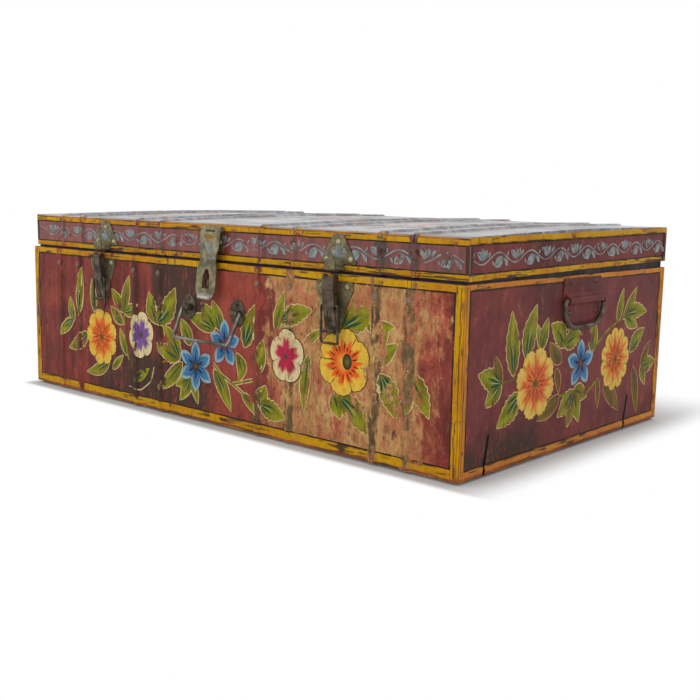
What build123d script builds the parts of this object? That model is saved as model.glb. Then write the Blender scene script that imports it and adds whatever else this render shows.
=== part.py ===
from build123d import *
from math import atan, cos, pi, radians, sin, tan
import os

os.makedirs("parts", exist_ok=True)

# A small tin trunk: a body of swaged sheet bent to a U, let-in ends, a riveted inner rim, a shallow
# lid on two rear hinges, a hasp with its staple, two draw latches, a front bail and two end rings.
# Millimetres. X runs along the front to the right, the front faces -Y, Z is up, and the origin lies on
# the floor under the middle of the whole object, so the body stands body_y behind it.
# Every fitting is drawn on a "face frame": local x runs along the face, local y goes into the trunk
# and local z is up. Heights of what sits on the body are drops below its rim.

# Overall sizes
trunk_width = 610.0
trunk_depth = 356.0
body_height = 160.5
lid_height = 34.5
lid_crown = 3.0
lid_crown_radius = 4500.0
lid_setback = 4.5  # the lid's front stands this far behind the body's front
front_gap = 2.2
rear_gap = 6.4  # the hinge barrels lie in this gap
sheet = 0.8
body_bend = 8.0
lid_bend = 4.0

# Swages, the raised ribs that run right round the sheets
rib_height = 1.8
rib_width = 10.0
rib_crest = 4.0
inner_pair_centre = 93.5
inner_pair_spacing = 41.0
outer_pair_centre = 233.5
outer_pair_spacing = 36.0

# Lap between the two body sheets
seam_x = 4.0
lap = 8.0
lap_clearance = 0.05

# Ends
turned_edge = 5.0
end_flange = 12.0
slit_height = 35.0
slit_mouth = 3.0
slit_tip = 0.6
slit_lean = 7.0
front_slit_y = -143.0
rear_slit_y = 105.0

# Inner rim
rim_leg = 26.0
rim_rise = 7.5
rim_clearance = 0.9
strip_clearance = 0.1
rim_rivet_drop = 16.0

# Rivets
hole_clearance = 0.05
rivet_shank = 1.5
rim_rivet_head = 3.6
small_rivet_head = 2.8
rivet_dome = 1.5
rivet_taper = 45.0
rivet_sides = 8
wide_bend = 9.0  # rods bend in four chords from this radius up
rivet_tail = 0.8
tail_radius = 2.4

# Rear hinges
lid_opening = 112.0  # the rib crests of lid and body meet at this angle
hinge_x = 164.0
hinge_width = 44.0
hinge_leaf = 1.2
hinge_barrel = 2.9
hinge_pin_radius = 1.5
hinge_clearance = 0.05
hinge_knuckle = 13.0
knuckle_gap = 0.3
lower_leaf_length = 38.0
upper_leaf_length = 26.0
barrel_clearance = 0.4
hinge_rivet_spacing = 28.0

# Hasp and staple
hasp_x = 8.0
hasp_axis_rise = 32.0  # above the rim
hasp_width = 28.0
hasp_waist = 22.6
hasp_length = 68.0
hasp_plate = 1.3
hasp_barrel = 2.6
hasp_pin_radius = 1.25
hasp_lean = 7.1  # degrees that the hasp stands out at rest, just clear of its staple
hasp_home_gap = 0.4
hasp_knuckle_width = 13.6
slot_width = 10.0
slot_bottom = 57.8
slot_shoulder = 45.0
slot_top_radius = 3.2
slot_top_centre = 42.0
hasp_bead = 1.7
hasp_leaf_bottom = 8.0
hasp_leaf_plate = 1.2
hasp_rivet_spacing = 16.0
staple_reach = 6.0
staple_wire = 1.0
staple_height = 8.6
staple_drop = 20.6
staple_bend = 2.0
staple_clench = 6.0

# Draw latches
latch_x = 169.0
latch_plate = 1.2
latch_plate_drop = 6.0
latch_plate_height = 45.5
latch_plate_width = 43.0
latch_rivet_spacing = 30.0
latch_rivet_drop = 10.5
lever_width = 13.0
lever_wall = 1.2
lever_front = 10.2
lever_pin_out = 6.6
lever_pin_drop = 4.0
lever_pin_radius = 1.1
lever_step_down = 9.5  # below the lever's pin, as the other lengths of the lever are
lever_step = 0.9
lever_length = 25.5
lever_foot_out = 8.6
lever_end_radius = 3.6
ear_thickness = 1.2
ear_radius = 2.2
ear_clearance = 0.2
tab_down = 44.5
tab_out = 4.4
tab_curl = 2.6
fork_width = 5.0
fork_top_down = 27.5
fork_bottom_down = 38.0
loop_pivot_down = 23.0
loop_pivot_out = 6.5
loop_wire = 1.2
loop_width = 22.0
loop_length = 33.0
loop_bend = 2.2
loop_clearance = 0.1
keeper_width = 43.0
keeper_bottom = 6.0
keeper_top = 32.0
keeper_corner = 1.6
keeper_rivet_spacing = 28.0
keeper_rivet_z = 10.0
keeper_top_rivet_z = 25.0
catch_reach = 11.9
catch_lip = 9.5
catch_bottom = 1.0
catch_bend = 1.8

# Front bail handle
bail_x = 10.0
bail_rod = 1.7
bail_pivot_drop = 46.0
bail_pivot_out = 3.3
bail_arm_spacing = 84.0
bail_grip_spacing = 80.0
bail_arm = 32.0
bail_lean = 25.0
bail_bend = 4.0
eye_spacing = 71.0
eye_width = 21.0
eye_height = 26.0
eye_plate = 1.2
saddle_width = 9.0
eye_clearance = 0.1
eye_rivet_offset = 9.0
bail_end_overhang = 2.0

# End ring handles
end_handle_y = 7.7
ring_rod = 2.2
ring_pivot_drop = 22.2
ring_pivot_out = 3.0
ring_width = 76.0
ring_depth = 27.0
ring_corner = 3.2
ring_clearance = 0.1
end_plate = 1.2
end_plate_width = 69.0
end_plate_drop = 2.5
end_flap_width = 62.0
end_flap_down = 20.3  # below the ring's bar
end_rivet_spacing = 46.0
end_top_rivet_drop = 6.5
end_low_rivet_down = 11.3  # below the ring's bar

# Worked out
hasp_axis_z = body_height + hasp_axis_rise
staple_z = body_height - staple_drop
latch_plate_top = body_height - latch_plate_drop
latch_plate_bottom = latch_plate_top - latch_plate_height
latch_rivet_z = body_height - latch_rivet_drop
lever_pin_z = body_height - lever_pin_drop
lever_step_z = lever_pin_z - lever_step_down
lever_foot_z = lever_pin_z - lever_length
tab_bottom_z = lever_pin_z - tab_down
fork_top_z = lever_pin_z - fork_top_down
fork_bottom_z = lever_pin_z - fork_bottom_down
loop_pivot_z = lever_pin_z - loop_pivot_down
bail_pivot_z = body_height - bail_pivot_drop
ring_pivot_z = body_height - ring_pivot_drop
end_plate_top = body_height - end_plate_drop
end_flap_bottom = ring_pivot_z - end_flap_down
end_top_rivet_z = body_height - end_top_rivet_drop
end_low_rivet_z = ring_pivot_z - end_low_rivet_down
lid_depth_flat = trunk_depth - lid_setback
lid_tilt = atan((rear_gap - front_gap) / lid_depth_flat)
lid_depth = lid_depth_flat / cos(lid_tilt)
rim_joggle_front = lid_setback + rim_clearance
rib_x = sorted(
    side * (centre + half * spacing / 2)
    for side in (-1, 1)
    for centre, spacing in (
        (inner_pair_centre, inner_pair_spacing),
        (outer_pair_centre, outer_pair_spacing),
    )
    for half in (-1, 1)
)
front_reach = bail_pivot_out + bail_arm * sin(radians(bail_lean)) + bail_rod
back_reach = rib_height + rivet_dome
body_y = (front_reach - back_reach) / 2
front_y = body_y - trunk_depth / 2
back_y = body_y + trunk_depth / 2
hinge_axis_y = back_y + rib_height - rear_gap / 2 / tan(radians(lid_opening / 2))
hinge_axis_z = body_height + rear_gap / 2
hasp_axis_y = front_y - hasp_home_gap + hasp_barrel - hasp_plate
loop_leg = loop_width / 2 - loop_wire
sides = {"left": -1, "right": 1}

body_face = Plane(origin=(0, front_y, 0), x_dir=(1, 0, 0), z_dir=(0, 0, 1))
back_face = Plane(origin=(0, back_y, 0), x_dir=(-1, 0, 0), z_dir=(0, 0, 1))
lid_up = Vector(0, -sin(lid_tilt), cos(lid_tilt))
lid_face = Plane(
    origin=(0, front_y + lid_setback, body_height + front_gap),
    x_dir=(1, 0, 0),
    z_dir=lid_up,
)
lid_back = Plane(
    origin=lid_face.from_local_coords((0, lid_depth, 0)), x_dir=(-1, 0, 0), z_dir=lid_up
)
hasp_up = Vector(0, sin(radians(hasp_lean)), cos(radians(hasp_lean)))
hasp_face = Plane(origin=(hasp_x, hasp_axis_y, hasp_axis_z), x_dir=(1, 0, 0), z_dir=hasp_up)


def end_face(side, y=0.0):
    """The frame of an end of the trunk, with its local x along the depth."""
    origin = (side * trunk_width / 2, body_y + y, 0)
    return Plane(origin=origin, x_dir=(0, side, 0), z_dir=(0, 0, 1))


def elevation(frame, out=0.0):
    """A sketch plane seen from outside, at a distance out from the face: coordinates are x and height."""
    origin = frame.from_local_coords((0, -out, 0))
    return Plane(origin=origin, x_dir=frame.x_dir, z_dir=-frame.y_dir)


def section(frame, x=0.0):
    """A sketch plane across the face at x: coordinates are the distance out of the face and height."""
    origin = frame.from_local_coords((x, 0, 0))
    return Plane(origin=origin, x_dir=-frame.y_dir, z_dir=-frame.x_dir)


def swage_points(x_start, x_end):
    """The sheet's outer line from x_start to x_end, with a raised rib at each rib position between."""
    points = [(x_start, 0)]
    for x in rib_x:
        if x_start < x < x_end:
            points.append((x - rib_width / 2, 0))
            points.append((x - rib_crest / 2, rib_height))
            points.append((x + rib_crest / 2, rib_height))
            points.append((x + rib_width / 2, 0))
    points.append((x_end, 0))
    return points


def body_outline(inset, top):
    """The body's end outline, drawn a distance inset inside the sheet's outer face, up to top."""
    radius = max(body_bend - inset, 1.0)
    low = rib_height + inset
    with BuildSketch() as outline:
        with BuildLine():
            FilletPolyline(
                (-inset, top),
                (-inset, low),
                (inset - trunk_depth, low),
                (inset - trunk_depth, top),
                radius=radius,
            )
            Line((inset - trunk_depth, top), (-inset, top))
        make_face()
    return outline.sketch


def lid_outline(inset, foot=0):
    """The lid's end outline, drawn a distance inset inside the sheet's outer face, down to foot."""
    radius = max(lid_bend - inset, 0.6)
    high = lid_height - inset
    with BuildSketch() as outline:
        with BuildLine():
            FilletPolyline(
                (-inset, foot),
                (-inset, high),
                (-lid_depth / 2, high + lid_crown),
                (inset - lid_depth, high),
                (inset - lid_depth, foot),
                radius=[radius, lid_crown_radius, radius],
            )
            Line((inset - lid_depth, foot), (-inset, foot))
        make_face()
    return outline.sketch


def drill(frame, places, radius, depth, start=rib_height):
    """Holes into a face at each (x, height), with as many sides as the rivets and clear of a circle of
    this radius."""
    with BuildSketch(elevation(frame, start)) as holes:
        with Locations(*places):
            RegularPolygon(radius, rivet_sides, major_radius=False)
    extrude(holes.sketch, amount=-(depth + start), mode=Mode.SUBTRACT)


def rivet(frame, x, z, out, grip, head):
    """One rivet: a tapered head on a surface at out, its shank through the grip and a flat clinched
    tail. It has eight sides, so that the many copies stay light."""
    layers = (
        (out, rivet_dome, head, rivet_taper),
        (out, -grip, rivet_shank, 0),
        (out - grip, -rivet_tail, tail_radius, 0),
    )
    for start, length, radius, taper in layers:
        with BuildSketch(elevation(frame, start)) as outline:
            with Locations((x, z)):
                RegularPolygon(radius, rivet_sides)
        extrude(outline.sketch, amount=length, taper=taper)


def rod_points(corners, radii, closed=False):
    """The points of a bent rod's line. Each corner is turned by chords of a bend of its radius, two in
    a tight bend and four in a wide one, so that the swept rod is made of straight round lengths."""
    corners = [Vector(*corner) for corner in corners]
    if closed:
        corners = [corners[-1]] + corners + [corners[0]]
    points = [] if closed else [corners[0]]
    for before, corner, after, radius in zip(corners, corners[1:], corners[2:], radii):
        back = (before - corner).normalized()
        ahead = (after - corner).normalized()
        half_angle = radians(back.get_angle(ahead)) / 2
        centre = corner + (back + ahead).normalized() * (radius / sin(half_angle))
        first = corner + back * (radius / tan(half_angle)) - centre
        last = corner + ahead * (radius / tan(half_angle)) - centre
        turn = pi - 2 * half_angle
        chords = 2 if radius < wide_bend else 4
        for step in range(chords + 1):
            leaving = sin(turn * (1 - step / chords)) / sin(turn)
            entering = sin(turn * step / chords) / sin(turn)
            points.append(centre + first * leaving + last * entering)
    if not closed:
        points.append(corners[-1])
    return [(point.X, point.Y) for point in points]


def save(builder, name):
    """Label a finished piece and write it."""
    builder.part.label = name
    export_step(builder.part, f"parts/{name}.step")


# Where the fasteners go, as (x, height) on the face that they hold
rim_rivet_z = body_height - rim_rivet_drop
rim_places = [(x, rim_rivet_z) for x in rib_x]
staple_legs = [
    (hasp_x, staple_z + way * (staple_height / 2 - staple_wire)) for way in (-1, 1)
]
eye_x = [bail_x - eye_spacing / 2, bail_x + eye_spacing / 2]
eye_places = [
    (x, bail_pivot_z + way * eye_rivet_offset) for x in eye_x for way in (-1, 1)
]
latch_places = [
    (side * latch_x + way * latch_rivet_spacing / 2, latch_rivet_z)
    for side in (-1, 1)
    for way in (-1, 1)
]
keeper_places = [
    (side * latch_x + x, z)
    for side in (-1, 1)
    for x, z in (
        (-keeper_rivet_spacing / 2, keeper_rivet_z),
        (keeper_rivet_spacing / 2, keeper_rivet_z),
        (0, keeper_top_rivet_z),
    )
]
hasp_leaf_top = hasp_axis_z - body_height - front_gap - hasp_barrel - barrel_clearance
hasp_leaf_rivet_z = (hasp_leaf_bottom + hasp_leaf_top) / 2
hasp_leaf_places = [
    (hasp_x + way * hasp_rivet_spacing / 2, hasp_leaf_rivet_z) for way in (-1, 1)
]
lower_hinge_rivet_z = rim_rivet_z
upper_hinge_rivet_z = upper_leaf_length * 0.62
lower_hinge_places = [
    (side * hinge_x + way * hinge_rivet_spacing / 2, lower_hinge_rivet_z)
    for side in (-1, 1)
    for way in (-1, 1)
]
upper_hinge_places = [(x, upper_hinge_rivet_z) for x, z in lower_hinge_places]
end_places = [
    (way * end_rivet_spacing / 2, z)
    for way in (-1, 1)
    for z in (end_low_rivet_z, end_top_rivet_z)
]
shank_hole = rivet_shank + hole_clearance
wall_and_rim = 2 * sheet


def cut_slits(side, depth):
    """The two leaning slits at the foot of an end, open at the bottom bend."""
    low = rib_height + sheet
    with BuildSketch(elevation(end_face(side))) as slits:
        for y in (front_slit_y, rear_slit_y):
            foot = side * y
            tip = side * (y + slit_lean)
            Polygon(
                (foot - slit_mouth / 2, low),
                (foot + slit_mouth / 2, low),
                (tip + slit_tip / 2, slit_height),
                (tip - slit_tip / 2, slit_height),
                align=None,
            )
    extrude(slits.sketch, amount=-depth, mode=Mode.SUBTRACT)


# Body sheets: one swaged section each, carried down the front, under the bottom and up the back.
# The right sheet's tongue lies under the left sheet's edge at the seam and stops short of the rim.
def body_sheet(name):
    side = sides[name]
    edge = side * trunk_width / 2
    tuck = -sheet - lap_clearance
    if side < 0:
        outer = swage_points(edge, seam_x)
        inner = [(x, y - sheet) for x, y in outer]
    else:
        outer = [(seam_x - lap, tuck), (seam_x, tuck)] + swage_points(seam_x, edge)
        inner = [(x, y - sheet) for x, y in outer]
        inner[1] = (seam_x + sheet, tuck - sheet)
        inner[2] = (seam_x + sheet, -sheet)
        outer[1] = (seam_x + lap_clearance, tuck)
        outer[2] = (seam_x + lap_clearance, 0)
    start = Plane(origin=(0, front_y, body_height), x_dir=(1, 0, 0), z_dir=(0, 0, -1))
    with BuildPart() as panel:
        with BuildLine(section(body_face)) as path:
            FilletPolyline(
                (0, body_height),
                (0, rib_height),
                (-trunk_depth, rib_height),
                (-trunk_depth, body_height),
                radius=body_bend,
            )
        with BuildSketch(start):
            Polygon(*outer, *reversed(inner), align=None)
        sweep(path=path.line)
        with BuildSketch(section(body_face, edge)):
            add(body_outline(0, body_height))
            add(body_outline(turned_edge, body_height + 1), mode=Mode.SUBTRACT)
        extrude(amount=side * sheet)
        if side > 0:
            with BuildSketch(section(body_face, seam_x + sheet)):
                with Locations((-trunk_depth / 2, body_height)):
                    Rectangle(trunk_depth - 2 * sheet, 2 * rim_leg + 2)
            extrude(amount=lap + 2 * sheet, mode=Mode.SUBTRACT)
        cut_slits(side, wall_and_rim)
        fasteners = [p for p in rim_places + eye_places + latch_places if p[0] * side > 0]
        drill(body_face, fasteners, shank_hole, wall_and_rim)
        at_back = [p for p in rim_places + lower_hinge_places if p[0] * side < 0]
        drill(back_face, at_back, shank_hole, wall_and_rim)
        if side > 0:
            drill(body_face, staple_legs, staple_wire + hole_clearance, wall_and_rim)
    save(panel, f"body_sheet_{name}")


for name in sides:
    body_sheet(name)


# End panels: let in behind the turned edges, with a flange that lies inside the body sheets
def end_panel(name):
    side = sides[name]
    face_x = side * (trunk_width / 2 - sheet)
    flange_top = body_height - rim_leg - 1.0
    with BuildPart() as panel:
        with BuildSketch(section(body_face, face_x)):
            add(body_outline(sheet, body_height))
        extrude(amount=side * sheet)
        with BuildSketch(section(body_face, face_x)):
            add(body_outline(sheet, flange_top))
            add(body_outline(2 * sheet, flange_top + 1), mode=Mode.SUBTRACT)
        extrude(amount=side * end_flange)
        cut_slits(side, wall_and_rim)
        drill(end_face(side, end_handle_y), end_places, shank_hole, wall_and_rim, 0)
    save(panel, f"end_panel_{name}")


for name in sides:
    end_panel(name)


# Inner rim: joggled strips that the lid comes down over
def rim_strip(name, frame, length, leg_out, joggle, holes):
    foot = body_height - rim_leg
    with BuildPart() as strip:
        with BuildSketch(section(frame)):
            Polygon(
                (leg_out, foot),
                (leg_out, body_height),
                (leg_out - joggle, body_height),
                (leg_out - joggle, body_height + rim_rise),
                (leg_out - joggle - sheet, body_height + rim_rise),
                (leg_out - joggle - sheet, body_height - sheet),
                (leg_out - sheet, body_height - sheet),
                (leg_out - sheet, foot),
                align=None,
            )
        extrude(amount=length / 2, both=True)
        drill(frame, holes, shank_hole, sheet - leg_out)
        if name == "front":
            drill(frame, staple_legs, staple_wire + hole_clearance, wall_and_rim)
    save(strip, f"rim_{name}")


long_strip = trunk_width - 4 * sheet - 2 * strip_clearance
short_strip = trunk_depth - 2 * (2 * sheet + rim_joggle_front + strip_clearance)
front_holes = rim_places + latch_places
back_holes = rim_places + lower_hinge_places
end_holes = [(way * end_rivet_spacing / 2, end_top_rivet_z) for way in (-1, 1)]
rim_strip("front", body_face, long_strip, -sheet, rim_joggle_front, front_holes)
rim_strip("back", back_face, long_strip, -sheet, rim_joggle_front, back_holes)
for name, side in sides.items():
    offset_holes = [(x + side * end_handle_y, z) for x, z in end_holes]
    rim_strip(name, end_face(side), short_strip, -2 * sheet, rim_clearance, offset_holes)

rib_grip = rib_height + wall_and_rim
with BuildPart() as rim_rivets:
    for face in (body_face, back_face):
        for x, z in rim_places:
            rivet(face, x, z, rib_height, rib_grip, rim_rivet_head)
save(rim_rivets, "rim_rivets")

# Lid: one swaged section carried up the front, over the crowned top and down the back
with BuildPart() as lid_sheet:
    with BuildLine(section(lid_face)) as lid_path:
        FilletPolyline(
            (0, 0),
            (0, lid_height),
            (-lid_depth / 2, lid_height + lid_crown),
            (-lid_depth, lid_height),
            (-lid_depth, 0),
            radius=[lid_bend, lid_crown_radius, lid_bend],
        )
    outer = swage_points(-trunk_width / 2, trunk_width / 2)
    inner = [(x, y - sheet) for x, y in outer]
    with BuildSketch(Plane(origin=lid_face.origin, x_dir=(-1, 0, 0), z_dir=lid_up)):
        Polygon(*outer, *reversed(inner), align=None)
    sweep(path=lid_path.line)
    for side in (-1, 1):
        with BuildSketch(section(lid_face, side * trunk_width / 2)):
            add(lid_outline(0))
            add(lid_outline(turned_edge, -1), mode=Mode.SUBTRACT)
        extrude(amount=side * sheet)
    drill(lid_face, keeper_places + hasp_leaf_places, shank_hole, sheet)
    drill(lid_back, upper_hinge_places, shank_hole, sheet)
save(lid_sheet, "lid_sheet")


def lid_end(name):
    side = sides[name]
    face_x = side * (trunk_width / 2 - sheet)
    lid_flange_foot = rim_rise + 1.0
    with BuildPart() as panel:
        with BuildSketch(section(lid_face, face_x)):
            add(lid_outline(sheet))
        extrude(amount=side * sheet)
        with BuildSketch(section(lid_face, face_x)):
            add(lid_outline(sheet, lid_flange_foot))
            add(lid_outline(2 * sheet, 0), mode=Mode.SUBTRACT)
        extrude(amount=side * end_flange)
    save(panel, f"lid_end_{name}")


for name in sides:
    lid_end(name)


# Rear hinges: a leaf on each side of the pin, outside the sheets
def leaf_part(node, side, frame, away, face_out, length, knuckles):
    """away is -1 for the leaf under the pin and 1 for the one over it; face_out is the face's distance
    outside the pin's axis, and knuckles are (middle, width) along the pin."""
    with BuildPart() as leaf:
        with BuildSketch(section(frame, side * hinge_x)):
            near = away * (hinge_barrel + barrel_clearance)
            Polygon(
                (face_out, near),
                (face_out + hinge_leaf, near),
                (face_out + hinge_leaf, away * length),
                (face_out, away * length),
                align=None,
            )
        extrude(amount=hinge_width / 2, both=True)
        for middle, width in knuckles:
            with BuildSketch(section(frame, side * hinge_x + middle)):
                Circle(hinge_barrel)
                Polygon(
                    (face_out, 0),
                    (face_out + hinge_leaf, 0),
                    (face_out + hinge_leaf, near),
                    (face_out, near),
                    align=None,
                )
                Circle(hinge_pin_radius + hinge_clearance, mode=Mode.SUBTRACT)
            extrude(amount=width / 2, both=True)
        rivet_x = [side * hinge_x + way * hinge_rivet_spacing / 2 for way in (-1, 1)]
        rivet_z = away * (length * 0.62) + rivet_shift[away]
        drill(frame, [(x, rivet_z) for x in rivet_x], shank_hole, sheet, face_out + hinge_leaf)
    save(leaf, node)


hinge_line = Vector(0, hinge_axis_y, hinge_axis_z)
lower_frame = Plane(origin=hinge_line, x_dir=(-1, 0, 0), z_dir=(0, 0, 1))
upper_frame = Plane(origin=hinge_line, x_dir=(-1, 0, 0), z_dir=lid_up)
body_back_out = back_y - hinge_axis_y
lid_back_local = upper_frame.to_local_coords(lid_back.origin)
lid_back_out = -lid_back_local.Y
rivet_shift = {
    -1: lower_hinge_rivet_z - hinge_axis_z + lower_leaf_length * 0.62,
    1: lid_back_local.Z + upper_hinge_rivet_z - upper_leaf_length * 0.62,
}
outer_middle = (hinge_width - hinge_knuckle) / 2
outer_knuckles = [(-outer_middle, hinge_knuckle), (outer_middle, hinge_knuckle)]
centre_knuckle = [(0, hinge_width - 2 * hinge_knuckle - 2 * knuckle_gap)]
for name, side in sides.items():
    leaf_part(
        f"hinge_lower_{name}",
        -side,
        lower_frame,
        -1,
        body_back_out,
        lower_leaf_length,
        outer_knuckles,
    )
    leaf_part(
        f"hinge_upper_{name}", -side, upper_frame, 1, lid_back_out, upper_leaf_length, centre_knuckle
    )
    with BuildPart() as hinge_pin:
        with BuildSketch(section(lower_frame, -side * hinge_x)):
            Circle(hinge_pin_radius)
        extrude(amount=hinge_width / 2, both=True)
    save(hinge_pin, f"hinge_pin_{name}")

hinge_grip = hinge_leaf + wall_and_rim
with BuildPart() as lower_hinge_rivets:
    for x, z in lower_hinge_places:
        rivet(back_face, x, z, hinge_leaf, hinge_grip, small_rivet_head)
save(lower_hinge_rivets, "hinge_lower_rivets")

with BuildPart() as upper_hinge_rivets:
    for x, z in upper_hinge_places:
        rivet(lid_back, x, z, hinge_leaf, hinge_leaf + sheet, small_rivet_head)
save(upper_hinge_rivets, "hinge_upper_rivets")

# Hasp: a fixed leaf on the lid behind it, a pin, the slotted plate, and the staple on the body
hasp_local = lid_face.to_local_coords(Vector(hasp_x, hasp_axis_y, hasp_axis_z))
with BuildPart() as hasp_leaf:
    with BuildSketch(elevation(lid_face)):
        with Locations((hasp_x, hasp_leaf_bottom)):
            Rectangle(
                hasp_waist,
                hasp_leaf_top - hasp_leaf_bottom,
                align=(Align.CENTER, Align.MIN),
            )
    extrude(amount=hasp_leaf_plate)
    with BuildSketch(section(lid_face, hasp_x)):
        Polygon(
            (0, hasp_leaf_top - sheet),
            (hasp_leaf_plate, hasp_leaf_top - sheet),
            (-hasp_local.Y, hasp_local.Z - hasp_barrel + sheet),
            (-hasp_local.Y, hasp_local.Z),
            (-hasp_local.Y - hasp_barrel + sheet / 2, hasp_local.Z),
            align=None,
        )
        with Locations((-hasp_local.Y, hasp_local.Z)):
            Circle(hasp_barrel)
            Circle(hasp_pin_radius + hinge_clearance, mode=Mode.SUBTRACT)
    extrude(amount=hasp_knuckle_width / 2 - knuckle_gap, both=True)
    drill(lid_face, hasp_leaf_places, shank_hole, sheet, hasp_leaf_plate)
save(hasp_leaf, "hasp_leaf")

with BuildPart() as hasp_pin:
    with BuildSketch(section(hasp_face)):
        Circle(hasp_pin_radius)
    extrude(amount=hasp_width / 2, both=True)
save(hasp_pin, "hasp_pin")

with BuildPart() as hasp_leaf_rivets:
    for x, z in hasp_leaf_places:
        rivet(lid_face, x, z, hasp_leaf_plate, hasp_leaf_plate + sheet, small_rivet_head)
save(hasp_leaf_rivets, "hasp_leaf_rivets")

hasp_half = hasp_width / 2
waist_half = hasp_waist / 2
waist_z = -hasp_length * 0.41
shoulder_z = -hasp_length * 0.22
cheek_z = -hasp_length * 0.62
foot_z = -hasp_length * 0.84
with BuildPart() as hasp:
    with BuildSketch(section(hasp_face)):
        Circle(hasp_barrel)
        Circle(hasp_pin_radius + hinge_clearance, mode=Mode.SUBTRACT)
    extrude(amount=hasp_half, both=True)
    with BuildSketch(elevation(hasp_face, hasp_barrel - hasp_plate)):
        with BuildLine():
            Line((0, -hasp_barrel / 2), (hasp_half, -hasp_barrel / 2))
            Line((hasp_half, -hasp_barrel / 2), (hasp_half, shoulder_z))
            bow = (shoulder_z - waist_z) / 2
            Bezier(
                (hasp_half, shoulder_z),
                (hasp_half, shoulder_z - bow),
                (waist_half, waist_z + bow),
                (waist_half, waist_z),
            )
            Bezier(
                (waist_half, waist_z),
                (waist_half, waist_z - bow),
                (hasp_half, cheek_z + bow),
                (hasp_half, cheek_z),
            )
            Line((hasp_half, cheek_z), (hasp_half, foot_z))
            ThreePointArc(
                (hasp_half, foot_z),
                (hasp_half * 0.74, (foot_z - 3 * hasp_length) / 4),
                (0, -hasp_length),
            )
            mirror(about=Plane.YZ)
        make_face()
        with Locations((0, -(slot_bottom + slot_shoulder) / 2)):
            Rectangle(slot_width, slot_bottom - slot_shoulder, mode=Mode.SUBTRACT)
        Polygon(
            (-slot_width / 2, -slot_shoulder),
            (-slot_top_radius, -slot_top_centre),
            (slot_top_radius, -slot_top_centre),
            (slot_width / 2, -slot_shoulder),
            align=None,
            mode=Mode.SUBTRACT,
        )
        with Locations((0, -slot_top_centre)):
            Circle(slot_top_radius, mode=Mode.SUBTRACT)
    extrude(amount=hasp_plate)
    with BuildSketch(elevation(hasp_face, -hasp_barrel - 1)):
        Rectangle(hasp_knuckle_width, 2 * (hasp_barrel + barrel_clearance))
    extrude(amount=2 * hasp_barrel + 2, mode=Mode.SUBTRACT)
    with BuildSketch(section(hasp_face)):
        with Locations((hasp_barrel, -hasp_length + hasp_bead)):
            Circle(hasp_bead)
    extrude(amount=hasp_half * 0.6, both=True)
save(hasp, "hasp")

leg_low = staple_legs[0][1]
leg_high = staple_legs[1][1]
clench_out = -2 * sheet - staple_wire - hole_clearance
tip_out = staple_reach - staple_wire
with BuildPart() as staple:
    with BuildLine(section(body_face, hasp_x)) as staple_path:
        Polyline(
            *rod_points(
                [
                    (clench_out, leg_low - staple_clench),
                    (clench_out, leg_low),
                    (tip_out, leg_low),
                    (tip_out, leg_high),
                    (clench_out, leg_high),
                    (clench_out, leg_high + staple_clench),
                ],
                [staple_wire * 1.1, staple_bend, staple_bend, staple_wire * 1.1],
            ),
        )
    with BuildSketch(
        Plane(origin=staple_path.line @ 0, z_dir=staple_path.line % 0, x_dir=(1, 0, 0))
    ):
        Circle(staple_wire)
    sweep(path=staple_path.line, transition=Transition.RIGHT)
save(staple, "hasp_staple")


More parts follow.
